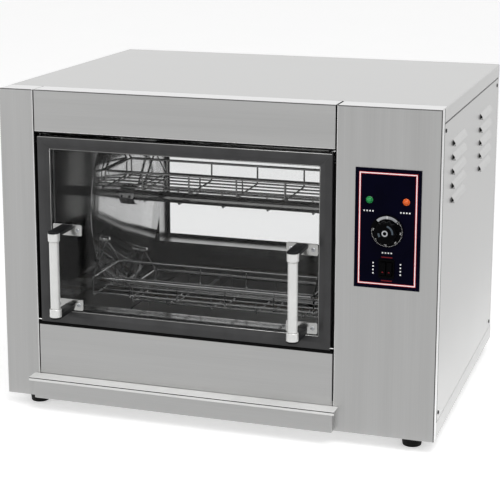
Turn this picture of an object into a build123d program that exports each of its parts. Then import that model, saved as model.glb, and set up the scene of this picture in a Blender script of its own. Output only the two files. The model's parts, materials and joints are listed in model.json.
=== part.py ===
"""Countertop chicken rotisserie: a steel oven cabinet with a lift-up glass door, a wheel of four level
wire baskets, a sliding drip tray and a control column.

Millimetres. X runs to the right, Y to the back and Z up. The origin is on the floor, under the middle
of the whole outline, with the louvres, the handles and the cable gland.
"""
import math
import os

from build123d import *

# Cabinet
cabinet_w = 810.0
cabinet_d = 620.0
cabinet_h = 578.0
sheet = 1.2
bend = 1.6
seam = 0.8
overrun = 5.0
round_sides = 16
small_sides = 12

# Front layout
left_column_w = 67.0
control_column_w = 179.0
header_h = 76.0
lower_panel_h = 96.0
tray_bay_h = 46.0
front_seam = 2.4
side_return = 20.0
top_return = 45.0

# Covers
base_flange = 28.0
cover_flange = 25.0
rear_wrap = 14.0
panel_flange = 10.0

# Feet
foot_h = 24.0
foot_top_r = 20.0
foot_bottom_r = 16.5
foot_inset_x = 46.0
foot_inset_y = 42.0

# Louvres of the right side panel
louvre_l = 114.0
louvre_h = 12.0
louvre_depth = 6.0
louvre_pitch = 25.0
louvre_rows = 5
louvre_drop = 78.0
louvre_front_inset = 160.0
louvre_rear_inset = 173.0
louvre_belly_share = 0.62

# Oven liner
liner = 1.0
ledge_rise = 9.0
ledge_lap = 26.0
ledge_play = 0.5
ledge_gap = 8.0
stop_w = 10.0
stop_gap = 0.5
rear_cavity = 51.0
ceiling_drop = 26.0

# Rear window
window_inset = 20.0
window_h = 211.5
window_sill = 164.5
window_lip = 6.0
window_glass_t = 4.0
gasket_w = 7.0
gasket_t = 3.0
glass_play = 0.4

# Door
door_t = 22.0
door_gap = 6.5
sill_gap = 4.0
hinge_gap = 8.5
rail_w = 24.0
rail_flat = 13.0
rail_bevel = 5.0
groove_d = 9.0
door_glass_t = 6.0
glass_bite = 7.0
groove_play = 0.15
hinge_pin_r = 4.0
hinge_pin_grip = 6.5
hinge_plate = 34.0
hinge_plate_t = 8.0
hinge_hole_play = 2.0
stop_hinge_gap = 16.0

# Handles
handle_inset = 60.0
handle_standoff = 51.5
handle_low = 25.0
handle_l = 162.0
bar_r = 8.8
cap_r = 10.8
cap_neck_r = 10.4
cap_l = 16.0
cap_sides = 20
arm_w = 20.0
arm_cover = 3.5
arm_t = 9.0
plate_w = 57.0
plate_h = 21.0
plate_t = 2.5

# Rotor
rotor_back = 5.5
rotor_angle = 25.4
basket_count = 4
wheel_top_gap = 20.0
basket_tray_gap = 46.4
basket_hub_gap = 32.4
disc_rim = 40.0
disc_t = 2.0
disc_sides = 60
disc_inset = 60.0
shaft_r = 10.0
hub_r = 19.0
hub_l = 18.0
run_play = 0.05
wall_hole_play = 3.0
pin_r = 4.0
pin_head_r = 6.5
pin_head_t = 2.0
pin_sides = 8
head_sides = 6
sleeve_r = 7.0
sleeve_l = 10.0
side_play = 0.5

# Baskets
basket_w = 130.0
basket_depth = 35.0
rim_d = 5.0
wire_d = 3.2
hanger_d = 4.0
wire_sides = 4
floor_count = 5
cross_count = 6
end_gap_share = 0.8
weld_share = 0.75
floor_spread_share = 0.84
hanger_start_share = 0.82

# Bearings and drive
bearing_plate = 64.0
bearing_plate_t = 5.0
bearing_boss_r = 20.0
bearing_boss_l = 16.0
coupling_r = 16.0
coupling_gap = 2.0
coupling_l = 34.0
coupling_bite = 14.0
stub_r = 6.0
stub_l = 22.0
bracket_t = 2.5
bracket_h = 112.0
bracket_w = 70.0
bracket_foot = 16.0
bracket_hole_r = 14.0
gearbox_w = 84.0
gearbox_l = 40.0
gearbox_corner = 8.0
motor_r = 35.0
motor_l = 60.0

# Heating elements
heater_r = 4.0
heater_sides = 6
heater_bend_r = 34.0
heater_end = 24.0
heater_inset = 30.0
heater_play = 0.3
top_heater_half_y = 110.0
top_heater_drop = 16.0
lower_heater_setback = 57.0
lower_heater_span = 70.0
lower_heater_rise = 80.0
support_w = 10.0
support_rim = 4.0
support_inset = 150.0

# Oven lamp
lamp_y = 100.0
lamp_drop = 82.0
socket_r = 18.0
socket_l = 34.0
socket_flange_r = 24.0
socket_flange_t = 3.0
bulb_r = 14.0
bulb_neck_r = 9.0
bulb_cap_l = 8.0
bulb_tube_l = 20.0
bulb_tip_l = 8.0

# Control plate
plate_drop = 103.5
control_plate_w = 113.5
control_plate_h = 208.0
control_plate_t = 1.6
control_plate_inset = 34.0
lamp_half_span = 31.5
lamp_up = 153.5
pilot_r = 6.0
pilot_stem_r = 4.5
pilot_body_l = 22.0
pilot_lens_h = 4.5
pilot_tip_r = 2.5
pilot_rim_h = 1.5
fit_play = 0.15

# Thermostat and knob
knob_up = 101.5
skirt_r = 28.0
skirt_t = 3.5
skirt_sides = 28
knob_r = 20.0
knob_l = 20.0
knob_edge = 1.5
knob_gap = 0.8
flute_bite = 1.8
flute_count = 12
spindle_r = 3.0
spindle_bite = 14.0
spindle_hole_r = 5.0
thermostat_w = 38.0
thermostat_h = 44.0
thermostat_l = 40.0
spindle_tail = 12.0

# Rocker switch
switch_up = 35.5
bezel_w = 27.0
bezel_h = 33.0
bezel_t = 2.5
switch_body_w = 22.0
switch_body_h = 28.0
switch_body_l = 24.0
rocker_w = 8.6
rocker_h = 23.0
rocker_well = 12.0
rocker_play = 0.4
rocker_proud = 5.0
rocker_tilt = 9.0
rocker_root = 5.0
rocker_pin_r = 1.5
rocker_pin_depth = 4.0

# Drip tray
tray_sheet = 1.2
runner_t = 1.5
runner_w = 16.0
runner_h = 6.5
tray_side_gap = 2.5
tray_play = 1.0
tray_rest = 0.3
tray_h = 34.0
tray_l = 540.0
fascia_over = 3.0
fascia_depth = 18.0
fascia_gap = 0.5
fascia_low = 2.0
lip_over = 9.0
lip_reach = 10.0
lip_h = 7.0

# Supply
block_l = 70.0
block_w = 26.0
block_h = 22.0
block_ways = 5
block_slot_share = 0.28
block_slot_depth = 8.0
block_from_back = 110.0
supply_inset = 75.0
gland_rise = 62.0
gland_r = 9.0
gland_nut_r = 13.0
gland_nut_t = 7.0
gland_tail = 10.0
gland_bore_r = 5.0

# Places worked out from the sizes above
front_reach = handle_standoff + cap_r
rear_reach = gland_nut_t + gland_tail
x_left = -(cabinet_w + louvre_depth) / 2
x_right = x_left + cabinet_w
y_front = front_reach - (front_reach + cabinet_d + rear_reach) / 2
y_back = y_front + cabinet_d
z_base = foot_h
z_top = z_base + cabinet_h
open_x0 = x_left + left_column_w
open_x1 = x_right - control_column_w
open_z0 = z_base + tray_bay_h + lower_panel_h
open_z1 = z_top - header_h
side_y0 = y_front + side_return + seam
side_y1 = y_back - rear_wrap - seam
side_z0 = z_base + base_flange + seam
side_z1 = z_top - cover_flange - seam
liner_front = y_front + door_t + stop_gap
liner_back = y_back - sheet - rear_cavity - liner
z_floor = z_base + sheet
z_ceiling = z_top - ceiling_drop
door_x0 = open_x0 + door_gap
door_x1 = open_x1 - door_gap
door_z0 = open_z0 + sill_gap
door_z1 = open_z1 - hinge_gap
hinge_y = y_front + door_t / 2
hinge_z = door_z1 - door_t / 2
tray_z0 = z_floor + runner_h + tray_rest
rotor_y = (liner_front + liner_back) / 2 + rotor_back
wheel_top = z_ceiling - top_heater_drop - heater_r - wheel_top_gap - disc_rim
hub_clear = hub_r + basket_hub_gap
pivot_r = (wheel_top - tray_z0 - tray_h - basket_tray_gap + hub_clear) / 3
rotor_z = wheel_top - pivot_r
disc_r = pivot_r + disc_rim
rim_drop = pivot_r - hub_clear - basket_depth - wire_d / 2
ledge_z = open_z0 + ledge_rise
sweep_mid_z = rotor_z - rim_drop - basket_depth - wire_d / 2
sweep_reach = math.sqrt(pivot_r ** 2 - (sweep_mid_z - ledge_z) ** 2)
ledge_y1 = rotor_y - basket_w / 2 - sweep_reach - ledge_gap
disc_x0 = open_x0 + disc_inset
disc_x1 = open_x1 - disc_inset
basket_x0 = disc_x0 + side_play + sleeve_l / 2
basket_x1 = disc_x1 - side_play - sleeve_l / 2
wall_x0 = open_x0 - liner
wall_x1 = open_x1 + liner
plate_x0 = open_x1 + control_plate_inset
plate_x1 = plate_x0 + control_plate_w
plate_mid = (plate_x0 + plate_x1) / 2
plate_z1 = z_top - plate_drop
plate_z0 = plate_z1 - control_plate_h
plate_y = y_front - control_plate_t
knob_z = plate_z0 + knob_up
pilot_z = plate_z0 + lamp_up
switch_z = plate_z0 + switch_up
rocker_pitch = switch_body_w / 2
window_x0 = open_x0 + window_inset
window_x1 = open_x1 - window_inset
window_z0 = z_base + window_sill
pane_front = y_back - sheet - window_glass_t
supply_x = x_right - supply_inset


def block(x, y, z):
    """A box between pairs of limits."""
    size = [high - low for low, high in (x, y, z)]
    middle = [(high + low) / 2 for low, high in (x, y, z)]
    return Pos(*middle) * Box(*size)


def rod_x(x0, x1, y, z, radius):
    """A round bar along X."""
    return Pos((x0 + x1) / 2, y, z) * Rot(0, 90, 0) * Cylinder(radius, x1 - x0)


def rod_y(x, y0, y1, z, radius):
    """A round bar along Y."""
    return Pos(x, (y0 + y1) / 2, z) * Rot(90, 0, 0) * Cylinder(radius, y1 - y0)


def rod_z(x, y, z0, z1, radius):
    """A round bar along Z."""
    return Pos(x, y, (z0 + z1) / 2) * Cylinder(radius, z1 - z0)


def prism_x(x0, x1, y, z, radius, sides=round_sides):
    """A many-sided bar along X."""
    return Pos(x0, y, z) * Rot(0, 90, 0) * extrude(RegularPolygon(radius, sides), x1 - x0)


def prism_y(x, y0, y1, z, radius, sides=small_sides):
    """A many-sided bar along Y."""
    return Pos(x, y1, z) * Rot(90, 0, 0) * extrude(RegularPolygon(radius, sides), y1 - y0)


def corner_r(radius, sides=small_sides):
    """Corner radius of a many-sided hole that a round of some radius turns freely in."""
    return radius / math.cos(math.pi / sides)


def tapered(radius, top_radius, height, sides=round_sides):
    """A many-sided stub from the origin up that narrows to its top."""
    lean = math.degrees(math.atan2(radius - top_radius, height))
    return extrude(RegularPolygon(radius, sides), height, taper=lean)


def facing(x, y, z, shape):
    """A shape made upwards from the origin, turned to stand out of the front at a place."""
    return Pos(x, y, z) * Rot(90, 0, 0) * shape


def join(solids):
    """All the solids as one."""
    first, *others = solids
    return first.fuse(*others)


def outline(plane, *points):
    """A closed face on a plane."""
    return plane * make_face(Polyline(*points, close=True))


def folded(x, y, z, closed, wall=sheet, bevel=0.0):
    """Folded sheet metal: a box with walls on the closed sides only and eased outer bends."""
    limits = [list(x), list(y), list(z)]
    outer = block(*limits)
    inner = [list(pair) for pair in limits]
    walls = []
    for axis, name in enumerate("xyz"):
        for end, sign in enumerate("-+"):
            inward = 1 - 2 * end
            if sign + name in closed:
                inner[axis][end] += inward * wall
                walls.append((axis, limits[axis][end]))
            else:
                inner[axis][end] -= inward * overrun
    if bevel:
        bends = [edge for edge in outer.edges() if on_two_walls(edge, walls)]
        outer = chamfer(bends, bevel)
    return outer - block(*inner)


def on_two_walls(edge, walls):
    """Whether an edge of a box lies where two closed walls meet."""
    middle = tuple(edge.center())
    return sum(math.isclose(middle[axis], place, abs_tol=seam / overrun) for axis, place in walls) == 2


def bores(centres, radius, x):
    """Holes along X at places given as Y and Z."""
    return [prism_x(*x, y, z, radius, small_sides) for y, z in centres]


def base_pan():
    pan = folded((x_left, x_right), (side_y0, y_back), (z_base, z_base + base_flange),
                 ("-x", "+x", "+y", "-z"))
    tongue = block((x_left, x_right), (y_front + sheet, side_y0 + overrun), (z_base, z_floor))
    return pan + tongue


def feet():
    foot = Rot(180, 0, 0) * tapered(foot_top_r, foot_bottom_r, foot_h)
    xs = (x_left + foot_inset_x, x_right - foot_inset_x)
    ys = (y_front + foot_inset_y, y_back - foot_inset_y)
    return [Pos(x, y, foot_h) * foot for x in xs for y in ys]


def side_panel(x, face):
    return folded(x, (side_y0, side_y1), (side_z0, side_z1), (face, "-y", "+y", "-z", "+z"))


def pressing(y, z, reach, top, length, *rest):
    """A bar along Y on the right face: a bulging front, closed by the points of the rest of its outline."""
    belly = (reach * louvre_belly_share, top * louvre_belly_share)
    face = outline(Plane.XZ, (0, top), belly, (reach, 0), *rest)
    return Pos(x_right, y + length / 2, z) * extrude(face, length)


def louvre_hood(y, z):
    """The outside of a pressed louvre."""
    return pressing(y, z, louvre_depth, louvre_h, louvre_l, (-sheet, 0), (-sheet, louvre_h))


def louvre_mouth(y, z):
    """The hollow of a louvre, open downwards and into the cabinet."""
    reach = louvre_depth - sheet
    top = louvre_h - sheet
    return pressing(y, z, reach, top, louvre_l - 2 * sheet, (reach, -overrun), (0, -overrun), (0, 0),
                    (-overrun, 0), (-overrun, top))


def right_side_panel():
    panel = side_panel((x_right - panel_flange, x_right), "+x")
    columns = (y_front + louvre_front_inset, y_back - louvre_rear_inset)
    places = [(y, z_top - louvre_drop - row * louvre_pitch) for y in columns for row in range(louvre_rows)]
    hoods = [louvre_hood(y, z) for y, z in places]
    mouths = [louvre_mouth(y, z) for y, z in places]
    return panel.fuse(*hoods).cut(*mouths)


def top_cover():
    cover = folded((x_left, x_right), (side_y0, y_back), (z_top - cover_flange, z_top),
                   ("-x", "+x", "+y", "+z"), bevel=bend)
    front = block((x_left - overrun, x_right + overrun),
                  (side_y0 - overrun, y_front + top_return + seam), (z_top - sheet, z_top + overrun))
    return cover - front


def window_span(grow):
    """X and Z limits of the rear window, grown on every side."""
    return ((window_x0 - grow, window_x1 + grow), (window_z0 - grow, window_z0 + window_h + grow))


def window_ring(outer, inner, y):
    """A rectangular ring round the window, between two growths."""
    outer_x, outer_z = window_span(outer)
    inner_x, inner_z = window_span(inner)
    ring = block(outer_x, y, outer_z)
    return ring - block(inner_x, (y[0] - overrun, y[1] + overrun), inner_z)


def rear_panel():
    panel = folded((x_left, x_right), (y_back - rear_wrap, y_back), (side_z0, side_z1),
                   ("-x", "+x", "+y"), bevel=bend)
    hole_x, hole_z = window_span(-window_lip)
    hole = block(hole_x, (y_back - rear_wrap, y_back + overrun), hole_z)
    tunnel = window_ring(sheet, 0, (liner_back + liner, y_back))
    inlet = prism_y(supply_x, y_back - rear_wrap, y_back + overrun, z_base + gland_rise, gland_r + fit_play)
    return panel - hole - inlet + tunnel


def rear_window_glass():
    glass_x, glass_z = window_span(-glass_play)
    return block(glass_x, (pane_front, pane_front + window_glass_t), glass_z)


def rear_window_gasket():
    return window_ring(0, -gasket_w, (pane_front - gasket_t, pane_front))


def front_column(x, inner, outer):
    """A front column: face, side return, jamb return and top return, standing on the base pan."""
    column = folded(x, (y_front, y_front + top_return), (z_base, z_top), ("-y", "-x", "+x", "+z"),
                    bevel=bend)
    returns = [(inner, liner_front), (outer, y_front + side_return)]
    for edge, depth in returns:
        spare = (edge - sheet - overrun, edge + sheet + overrun)
        column -= block(spare, (depth, y_front + top_return + overrun), (z_base - overrun, z_top - sheet))
    base = block((x[0] - overrun, x[1] + overrun), (y_front + sheet, liner_front + overrun),
                 (z_base - overrun, z_floor))
    pin = prism_x(inner - sheet - overrun, inner + sheet + overrun, hinge_y, hinge_z,
                  hinge_pin_r + hinge_hole_play)
    return column - base - pin


def control_cuts(y, play):
    """The holes for the controls, through whatever lies between two Y limits."""
    y0, y1 = y
    cuts = [prism_y(plate_mid, y0, y1, knob_z, spindle_hole_r)]
    for side in (-1, 1):
        cuts.append(prism_y(plate_mid + side * lamp_half_span, y0, y1, pilot_z, pilot_stem_r + play))
    half_w = switch_body_w / 2 + play
    half_h = switch_body_h / 2 + play
    cuts.append(block((plate_mid - half_w, plate_mid + half_w), y, (switch_z - half_h, switch_z + half_h)))
    return cuts


def control_column():
    column = front_column((open_x1, x_right), open_x1, x_right)
    return column.cut(*control_cuts((y_front - overrun, y_front + sheet + overrun), fit_play))


def front_header():
    header = folded((open_x0 + front_seam, open_x1 - front_seam), (y_front, y_front + top_return),
                    (open_z1, z_top), ("-y", "-z", "+z"), bevel=bend)
    spare = block((open_x0, open_x1), (liner_front, y_front + top_return + overrun),
                  (open_z1 - overrun, z_top - sheet))
    return header - spare


def lower_front_panel():
    """The front rail over the tray, and the ledge behind the door's foot that leads drips to the tray."""
    rail = folded((open_x0 + front_seam, open_x1 - front_seam), (y_front, liner_front),
                  (z_base + tray_bay_h, open_z0), ("-y", "+y", "+z"), bevel=bend)
    ledge = folded((open_x0 + ledge_play, open_x1 - ledge_play), (liner_front, ledge_y1),
                   (open_z0 - ledge_lap, ledge_z), ("-y", "+z"))
    return rail + ledge


def chamber_wall(wall):
    side = block(wall, (liner_front, liner_back), (z_floor, z_ceiling))
    return side - prism_x(wall[0] - overrun, wall[1] + overrun, rotor_y, rotor_z, shaft_r + wall_hole_play)


def door_stops():
    """Strips inside the front edges of the liner's side walls that the closed door comes up to."""
    y = (liner_front, liner_front + liner)
    z = (ledge_z, hinge_z - stop_hinge_gap)
    return [block((open_x0, open_x0 + stop_w), y, z), block((open_x1 - stop_w, open_x1), y, z)]


def heater_places():
    """Y and Z of the straight runs of both heating elements."""
    top_z = z_ceiling - top_heater_drop
    low_y = liner_back - lower_heater_setback
    low_z = z_base + lower_heater_rise
    top = [(rotor_y - top_heater_half_y, top_z), (rotor_y + top_heater_half_y, top_z)]
    lower = [(low_y - lower_heater_span, low_z), (low_y, low_z)]
    return top, lower


def chamber_right_wall():
    wall = chamber_wall((open_x1, wall_x1))
    top, lower = heater_places()
    through = (open_x1 - overrun, wall_x1 + overrun)
    holes = bores(top + lower, heater_r + heater_play, through)
    holes += bores([(y_front + lamp_y, z_ceiling - lamp_drop)], socket_r + fit_play, through)
    return wall.cut(*holes)


def chamber_ceiling():
    ceiling = block((wall_x0, wall_x1), (liner_front, liner_back + liner), (z_ceiling, z_ceiling + liner))
    drop = block((open_x0, open_x1), (liner_front, liner_front + liner), (open_z1, z_ceiling + liner))
    return ceiling + drop


def chamber_rear_wall():
    wall = block((wall_x0, wall_x1), (liner_back, liner_back + liner), (z_floor, z_ceiling))
    hole_x, hole_z = window_span(0)
    return wall - block(hole_x, (liner_back - overrun, liner_back + overrun), hole_z)


def heater(places):
    """A bent tube out from the right wall, along the oven and back."""
    (y0, z), (y1, _) = places
    x_start = wall_x1 + heater_end
    x_turn = open_x0 + heater_inset
    path = FilletPolyline((x_start, y0, z), (x_turn, y0, z), (x_turn, y1, z), (x_start, y1, z),
                          radius=heater_bend_r)
    return sweep(Plane(origin=path @ 0, z_dir=path % 0) * RegularPolygon(heater_r, heater_sides), path)


def heater_supports():
    """Drilled strips: the upper element hangs from the ceiling, the lower one stands off the rear wall."""
    top, lower = heater_places()
    x = (open_x0 + support_inset, open_x0 + support_inset + support_w)
    rim = heater_r + heater_play + support_rim
    strips = []
    for y, z in top:
        strip = block(x, (y - rim, y + rim), (z - rim, z_ceiling))
        strips.append(strip.cut(*bores([(y, z)], heater_r + heater_play, x)))
    y, z = lower[1]
    strip = block(x, (y - rim, liner_back), (z - rim, z + rim))
    strips.append(strip.cut(*bores([(y, z)], heater_r + heater_play, x)))
    return strips


def lamp_socket():
    y = y_front + lamp_y
    z = z_ceiling - lamp_drop
    body = prism_x(open_x1, wall_x1 + socket_l, y, z, socket_r, small_sides)
    flange = prism_x(wall_x1, wall_x1 + socket_flange_t, y, z, socket_flange_r, small_sides)
    return body + flange


def lamp_bulb():
    """A tubular bulb with a tapered tip and a narrower cap."""
    cap = tapered(bulb_neck_r, bulb_neck_r, bulb_cap_l, small_sides)
    tube = Pos(0, 0, bulb_cap_l) * tapered(bulb_r, bulb_r, bulb_tube_l, small_sides)
    tip = Pos(0, 0, bulb_cap_l + bulb_tube_l) * tapered(bulb_r, bulb_neck_r, bulb_tip_l, small_sides)
    return Pos(open_x1, y_front + lamp_y, z_ceiling - lamp_drop) * Rot(0, -90, 0) * (cap + tube + tip)


def bearing(face, way):
    """A flanged bearing on the outside of a liner wall."""
    plate_x = sorted((face, face + way * bearing_plate_t))
    boss_x = sorted((face, face + way * (bearing_plate_t + bearing_boss_l)))
    half = bearing_plate / 2
    plate = block(plate_x, (rotor_y - half, rotor_y + half), (rotor_z - half, rotor_z + half))
    boss = prism_x(*boss_x, rotor_y, rotor_z, bearing_boss_r)
    bore = rod_x(boss_x[0] - overrun, boss_x[1] + overrun, rotor_y, rotor_z, shaft_r + run_play)
    return plate + boss - bore


shaft_x0 = wall_x0 - bearing_plate_t - bearing_boss_l
coupling_x0 = wall_x1 + bearing_plate_t + bearing_boss_l + coupling_gap
shaft_x1 = coupling_x0 + coupling_bite
coupling_x1 = coupling_x0 + coupling_l
gearbox_x0 = coupling_x1 + coupling_gap + bracket_t


def motor_bracket():
    """A channel on the right wall that carries the gear motor clear of the coupling."""
    half_h = bracket_h / 2
    half_w = bracket_w / 2
    y = (rotor_y - half_w, rotor_y + half_w)
    channel = folded((wall_x1, gearbox_x0), y, (rotor_z - half_h, rotor_z + half_h), ("+x", "-z", "+z"),
                     wall=bracket_t)
    foot_x = (wall_x1, wall_x1 + bracket_t)
    lower = block(foot_x, y, (rotor_z - half_h - bracket_foot, rotor_z - half_h + bracket_t))
    upper = block(foot_x, y, (rotor_z + half_h - bracket_t, rotor_z + half_h + bracket_foot))
    hole = prism_x(gearbox_x0 - bracket_t - overrun, gearbox_x0 + overrun, rotor_y, rotor_z, bracket_hole_r)
    return channel + lower + upper - hole


def gear_motor():
    half = gearbox_w / 2
    gearbox_x1 = gearbox_x0 + gearbox_l
    y = (rotor_y - half, rotor_y + half)
    z = (rotor_z - half, rotor_z + half)
    box = block((gearbox_x0, gearbox_x1), y, z)
    box = chamfer(box.edges().filter_by(Axis.X), gearbox_corner)
    motor = prism_x(gearbox_x1, gearbox_x1 + motor_l, rotor_y, rotor_z, motor_r)
    ends = (gearbox_x0 - overrun, coupling_x1 + stub_l + side_play)
    return box + motor - prism_x(*ends, rotor_y, rotor_z, corner_r(stub_r + run_play), small_sides)


def drive_coupling():
    """A sleeve on the end of the rotor shaft with a stub that runs in the gearbox."""
    sleeve = prism_x(coupling_x0, coupling_x1, rotor_y, rotor_z, coupling_r)
    stub = prism_x(coupling_x1, coupling_x1 + stub_l, rotor_y, rotor_z, stub_r)
    socket_r = corner_r(shaft_r + run_play, round_sides)
    return sleeve + stub - prism_x(coupling_x0 - overrun, shaft_x1, rotor_y, rotor_z, socket_r)


def rotor_shaft():
    return rod_x(shaft_x0, shaft_x1, rotor_y, rotor_z, shaft_r)


def rotor_disc(face, way):
    """An end disc with its hub; the baskets hang on the side that the way points to."""
    disc_x = sorted((face, face - way * disc_t))
    hub_x = sorted((face - way * disc_t, face + way * hub_l))
    disc = prism_x(*disc_x, rotor_y, rotor_z, disc_r, disc_sides)
    hub = prism_x(*hub_x, rotor_y, rotor_z, hub_r)
    bore = rod_x(hub_x[0] - overrun, hub_x[1] + overrun, rotor_y, rotor_z, shaft_r + run_play)
    return disc + hub - bore


def pivot_places():
    """Y and Z of the basket pivots, from the upper front one round towards the back."""
    places = []
    for number in range(basket_count):
        turn = math.radians(rotor_angle + 360 / basket_count * (1 - number))
        places.append((rotor_y + pivot_r * math.cos(turn), rotor_z + pivot_r * math.sin(turn)))
    return places


def basket_pins():
    """Headed studs on the inner faces of both discs."""
    reach = sleeve_l + 2 * side_play
    pins = []
    for y, z in pivot_places():
        for face, way in ((disc_x0, 1), (disc_x1, -1)):
            stem = sorted((face, face + way * reach))
            head = sorted((face + way * reach, face + way * (reach + pin_head_t)))
            pin = prism_x(*stem, y, z, pin_r, pin_sides)
            pins.append(pin + prism_x(*head, y, z, pin_head_r, head_sides))
    return pins


def wire(start, end, diameter):
    """A straight square-drawn wire with its flats along the basket."""
    run = Vector(*end) - Vector(*start)
    section = RegularPolygon(diameter / 2, wire_sides, major_radius=False, rotation=180 / wire_sides)
    return extrude(Plane(origin=start, z_dir=run.normalized()) * section, run.length)


def cross_wire_xs():
    """The cross wires: one at each end, and the others evenly spaced with a shorter gap to the ends."""
    inner = cross_count - 2
    pitch = (basket_x1 - basket_x0) / (inner - 1 + 2 * end_gap_share)
    places = [basket_x0 + pitch * (end_gap_share + number) for number in range(inner)]
    return [basket_x0] + places + [basket_x1]


def basket(pivot_y, pivot_z):
    """A welded wire basket, hung by triangles of wire from a sleeve at each end."""
    half_w = basket_w / 2
    rim_z = pivot_z - rim_drop
    floor_z = rim_z - basket_depth
    ends = (basket_x0, basket_x1)
    sides = (pivot_y - half_w, pivot_y + half_w)
    wires = []
    for y in sides:
        wires.append(wire((ends[0] - rim_d / 2, y, rim_z), (ends[1] + rim_d / 2, y, rim_z), rim_d))
    for x in ends:
        wires.append(wire((x, sides[0], rim_z), (x, sides[1], rim_z), rim_d))
        for y in sides:
            spoke = Vector(x, y, rim_z) - Vector(x, pivot_y, pivot_z)
            start = Vector(x, pivot_y, pivot_z) + spoke.normalized() * sleeve_r * hanger_start_share
            wires.append(wire(tuple(start), (x, y, rim_z), hanger_d))
    for x in cross_wire_xs():
        for y in sides:
            wires.append(wire((x, y, floor_z - wire_d / 2), (x, y, rim_z), wire_d))
        wires.append(wire((x, sides[0], floor_z), (x, sides[1], floor_z), wire_d))
    spread = basket_w * floor_spread_share
    for number in range(floor_count):
        y = pivot_y - spread / 2 + number * spread / (floor_count - 1)
        z = floor_z + wire_d * weld_share
        wires.append(wire((ends[0] - wire_d / 2, y, z), (ends[1] + wire_d / 2, y, z), wire_d))
    half_l = sleeve_l / 2
    sleeves = [prism_x(x - half_l, x + half_l, pivot_y, pivot_z, sleeve_r, small_sides) for x in ends]
    eyes = [rod_x(x - sleeve_l, x + sleeve_l, pivot_y, pivot_z, pin_r + run_play) for x in ends]
    return join(wires + sleeves).cut(*eyes)


def rail_profile():
    """The frame section: flat face, bevel towards the pane, and a groove that holds it."""
    groove = (door_t - door_glass_t) / 2 - groove_play
    back = (door_t + door_glass_t) / 2 + groove_play
    floor = rail_w - groove_d
    return outline(Plane.YZ, (0, 0), (0, rail_flat), (rail_bevel, rail_w), (groove, rail_w),
                   (groove, floor), (back, floor), (back, rail_w), (door_t, rail_w), (door_t, 0))


def mitred_rail(length):
    """A frame rail along X with its outer edge down, cut at forty-five degrees at both ends."""
    bar = Pos(-length / 2, 0, 0) * extrude(rail_profile(), length)
    half = length / 2
    shape = outline(Plane.XZ, (-half, 0), (half, 0), (half - rail_w, rail_w), (rail_w - half, rail_w))
    return bar & Pos(0, door_t + overrun, 0) * extrude(shape, door_t + 2 * overrun)


def door_rails():
    """The four rails of the door by name."""
    mid_x = (door_x0 + door_x1) / 2
    mid_z = (door_z0 + door_z1) / 2
    across = mitred_rail(door_x1 - door_x0)
    upright = mitred_rail(door_z1 - door_z0)
    return {
        "door_bottom_rail": Pos(mid_x, y_front, door_z0) * across,
        "door_top_rail": Pos(mid_x, y_front, door_z1) * Rot(0, 180, 0) * across,
        "door_left_stile": Pos(door_x0, y_front, mid_z) * Rot(0, 90, 0) * upright,
        "door_right_stile": Pos(door_x1, y_front, mid_z) * Rot(0, -90, 0) * upright,
    }


def drilled_for_pin(rail):
    """A frame rail with the seats of the hinge pins cut where they reach into it."""
    left = prism_x(door_x0 - overrun, door_x0 + hinge_pin_grip, hinge_y, hinge_z, hinge_pin_r)
    right = prism_x(door_x1 - hinge_pin_grip, door_x1 + overrun, hinge_y, hinge_z, hinge_pin_r)
    return rail.cut(left, right)


def door_hinge_pins():
    reach = door_gap + sheet + hinge_plate_t
    left = prism_x(door_x0 - reach, door_x0 + hinge_pin_grip, hinge_y, hinge_z, hinge_pin_r)
    right = prism_x(door_x1 - hinge_pin_grip, door_x1 + reach, hinge_y, hinge_z, hinge_pin_r)
    return [left, right]


def door_hinge_brackets():
    """Drilled plates inside the columns that the hinge pins turn in."""
    plates = []
    y = (y_front + sheet, liner_front)
    half = hinge_plate / 2
    for face, way in ((open_x0 - sheet, -1), (open_x1 + sheet, 1)):
        x = sorted((face, face + way * hinge_plate_t))
        plate = block(x, y, (hinge_z - half, hinge_z + half))
        bore = rod_x(x[0] - overrun, x[1] + overrun, hinge_y, hinge_z, hinge_pin_r + run_play)
        plates.append(plate - bore)
    return plates


pane_y0 = y_front + (door_t - door_glass_t) / 2
pane_y1 = pane_y0 + door_glass_t


def door_glass():
    inset = rail_w - glass_bite
    return block((door_x0 + inset, door_x1 - inset), (pane_y0, pane_y1), (door_z0 + inset, door_z1 - inset))


handle_y = y_front - handle_standoff
handle_z0 = door_z0 + handle_low
handle_z1 = handle_z0 + handle_l
handle_xs = (open_x0 + handle_inset, open_x1 - handle_inset)


def handle_bar(x):
    inset = arm_cover + cap_l
    return rod_z(x, handle_y, handle_z0 + inset, handle_z1 - inset, bar_r)


def handle_caps():
    """Tapered end caps, wide ends outwards."""
    cap = tapered(cap_r, cap_neck_r, cap_l, cap_sides)
    caps = []
    for x in handle_xs:
        caps.append(Pos(x, handle_y, handle_z0 + arm_cover) * cap)
        caps.append(Pos(x, handle_y, handle_z1 - arm_cover) * Rot(180, 0, 0) * cap)
    return caps


def handle_arms():
    """Moulded arms from the caps back to the plates, each closing over a cap's end."""
    plate_face = pane_y0 - plate_t
    cover = tapered(cap_r, cap_r, arm_cover, cap_sides)
    seat = Pos(0, 0, arm_cover) * tapered(cap_r, cap_r, cap_l + overrun, cap_sides)
    bar = block((-arm_w / 2, arm_w / 2), (0, plate_face - handle_y), (0, arm_t))
    arm = bar - seat + cover
    arms = []
    for x in handle_xs:
        arms.append(Pos(x, handle_y, handle_z0) * arm)
        arms.append(Pos(x, handle_y, handle_z1) * mirror(arm, Plane.XY))
    return arms


def handle_plates():
    half = plate_w / 2
    y = (pane_y0 - plate_t, pane_y0)
    plates = []
    for x in handle_xs:
        for low in (handle_z0, handle_z1 - plate_h):
            plates.append(block((x - half, x + half), y, (low, low + plate_h)))
    return plates


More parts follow.
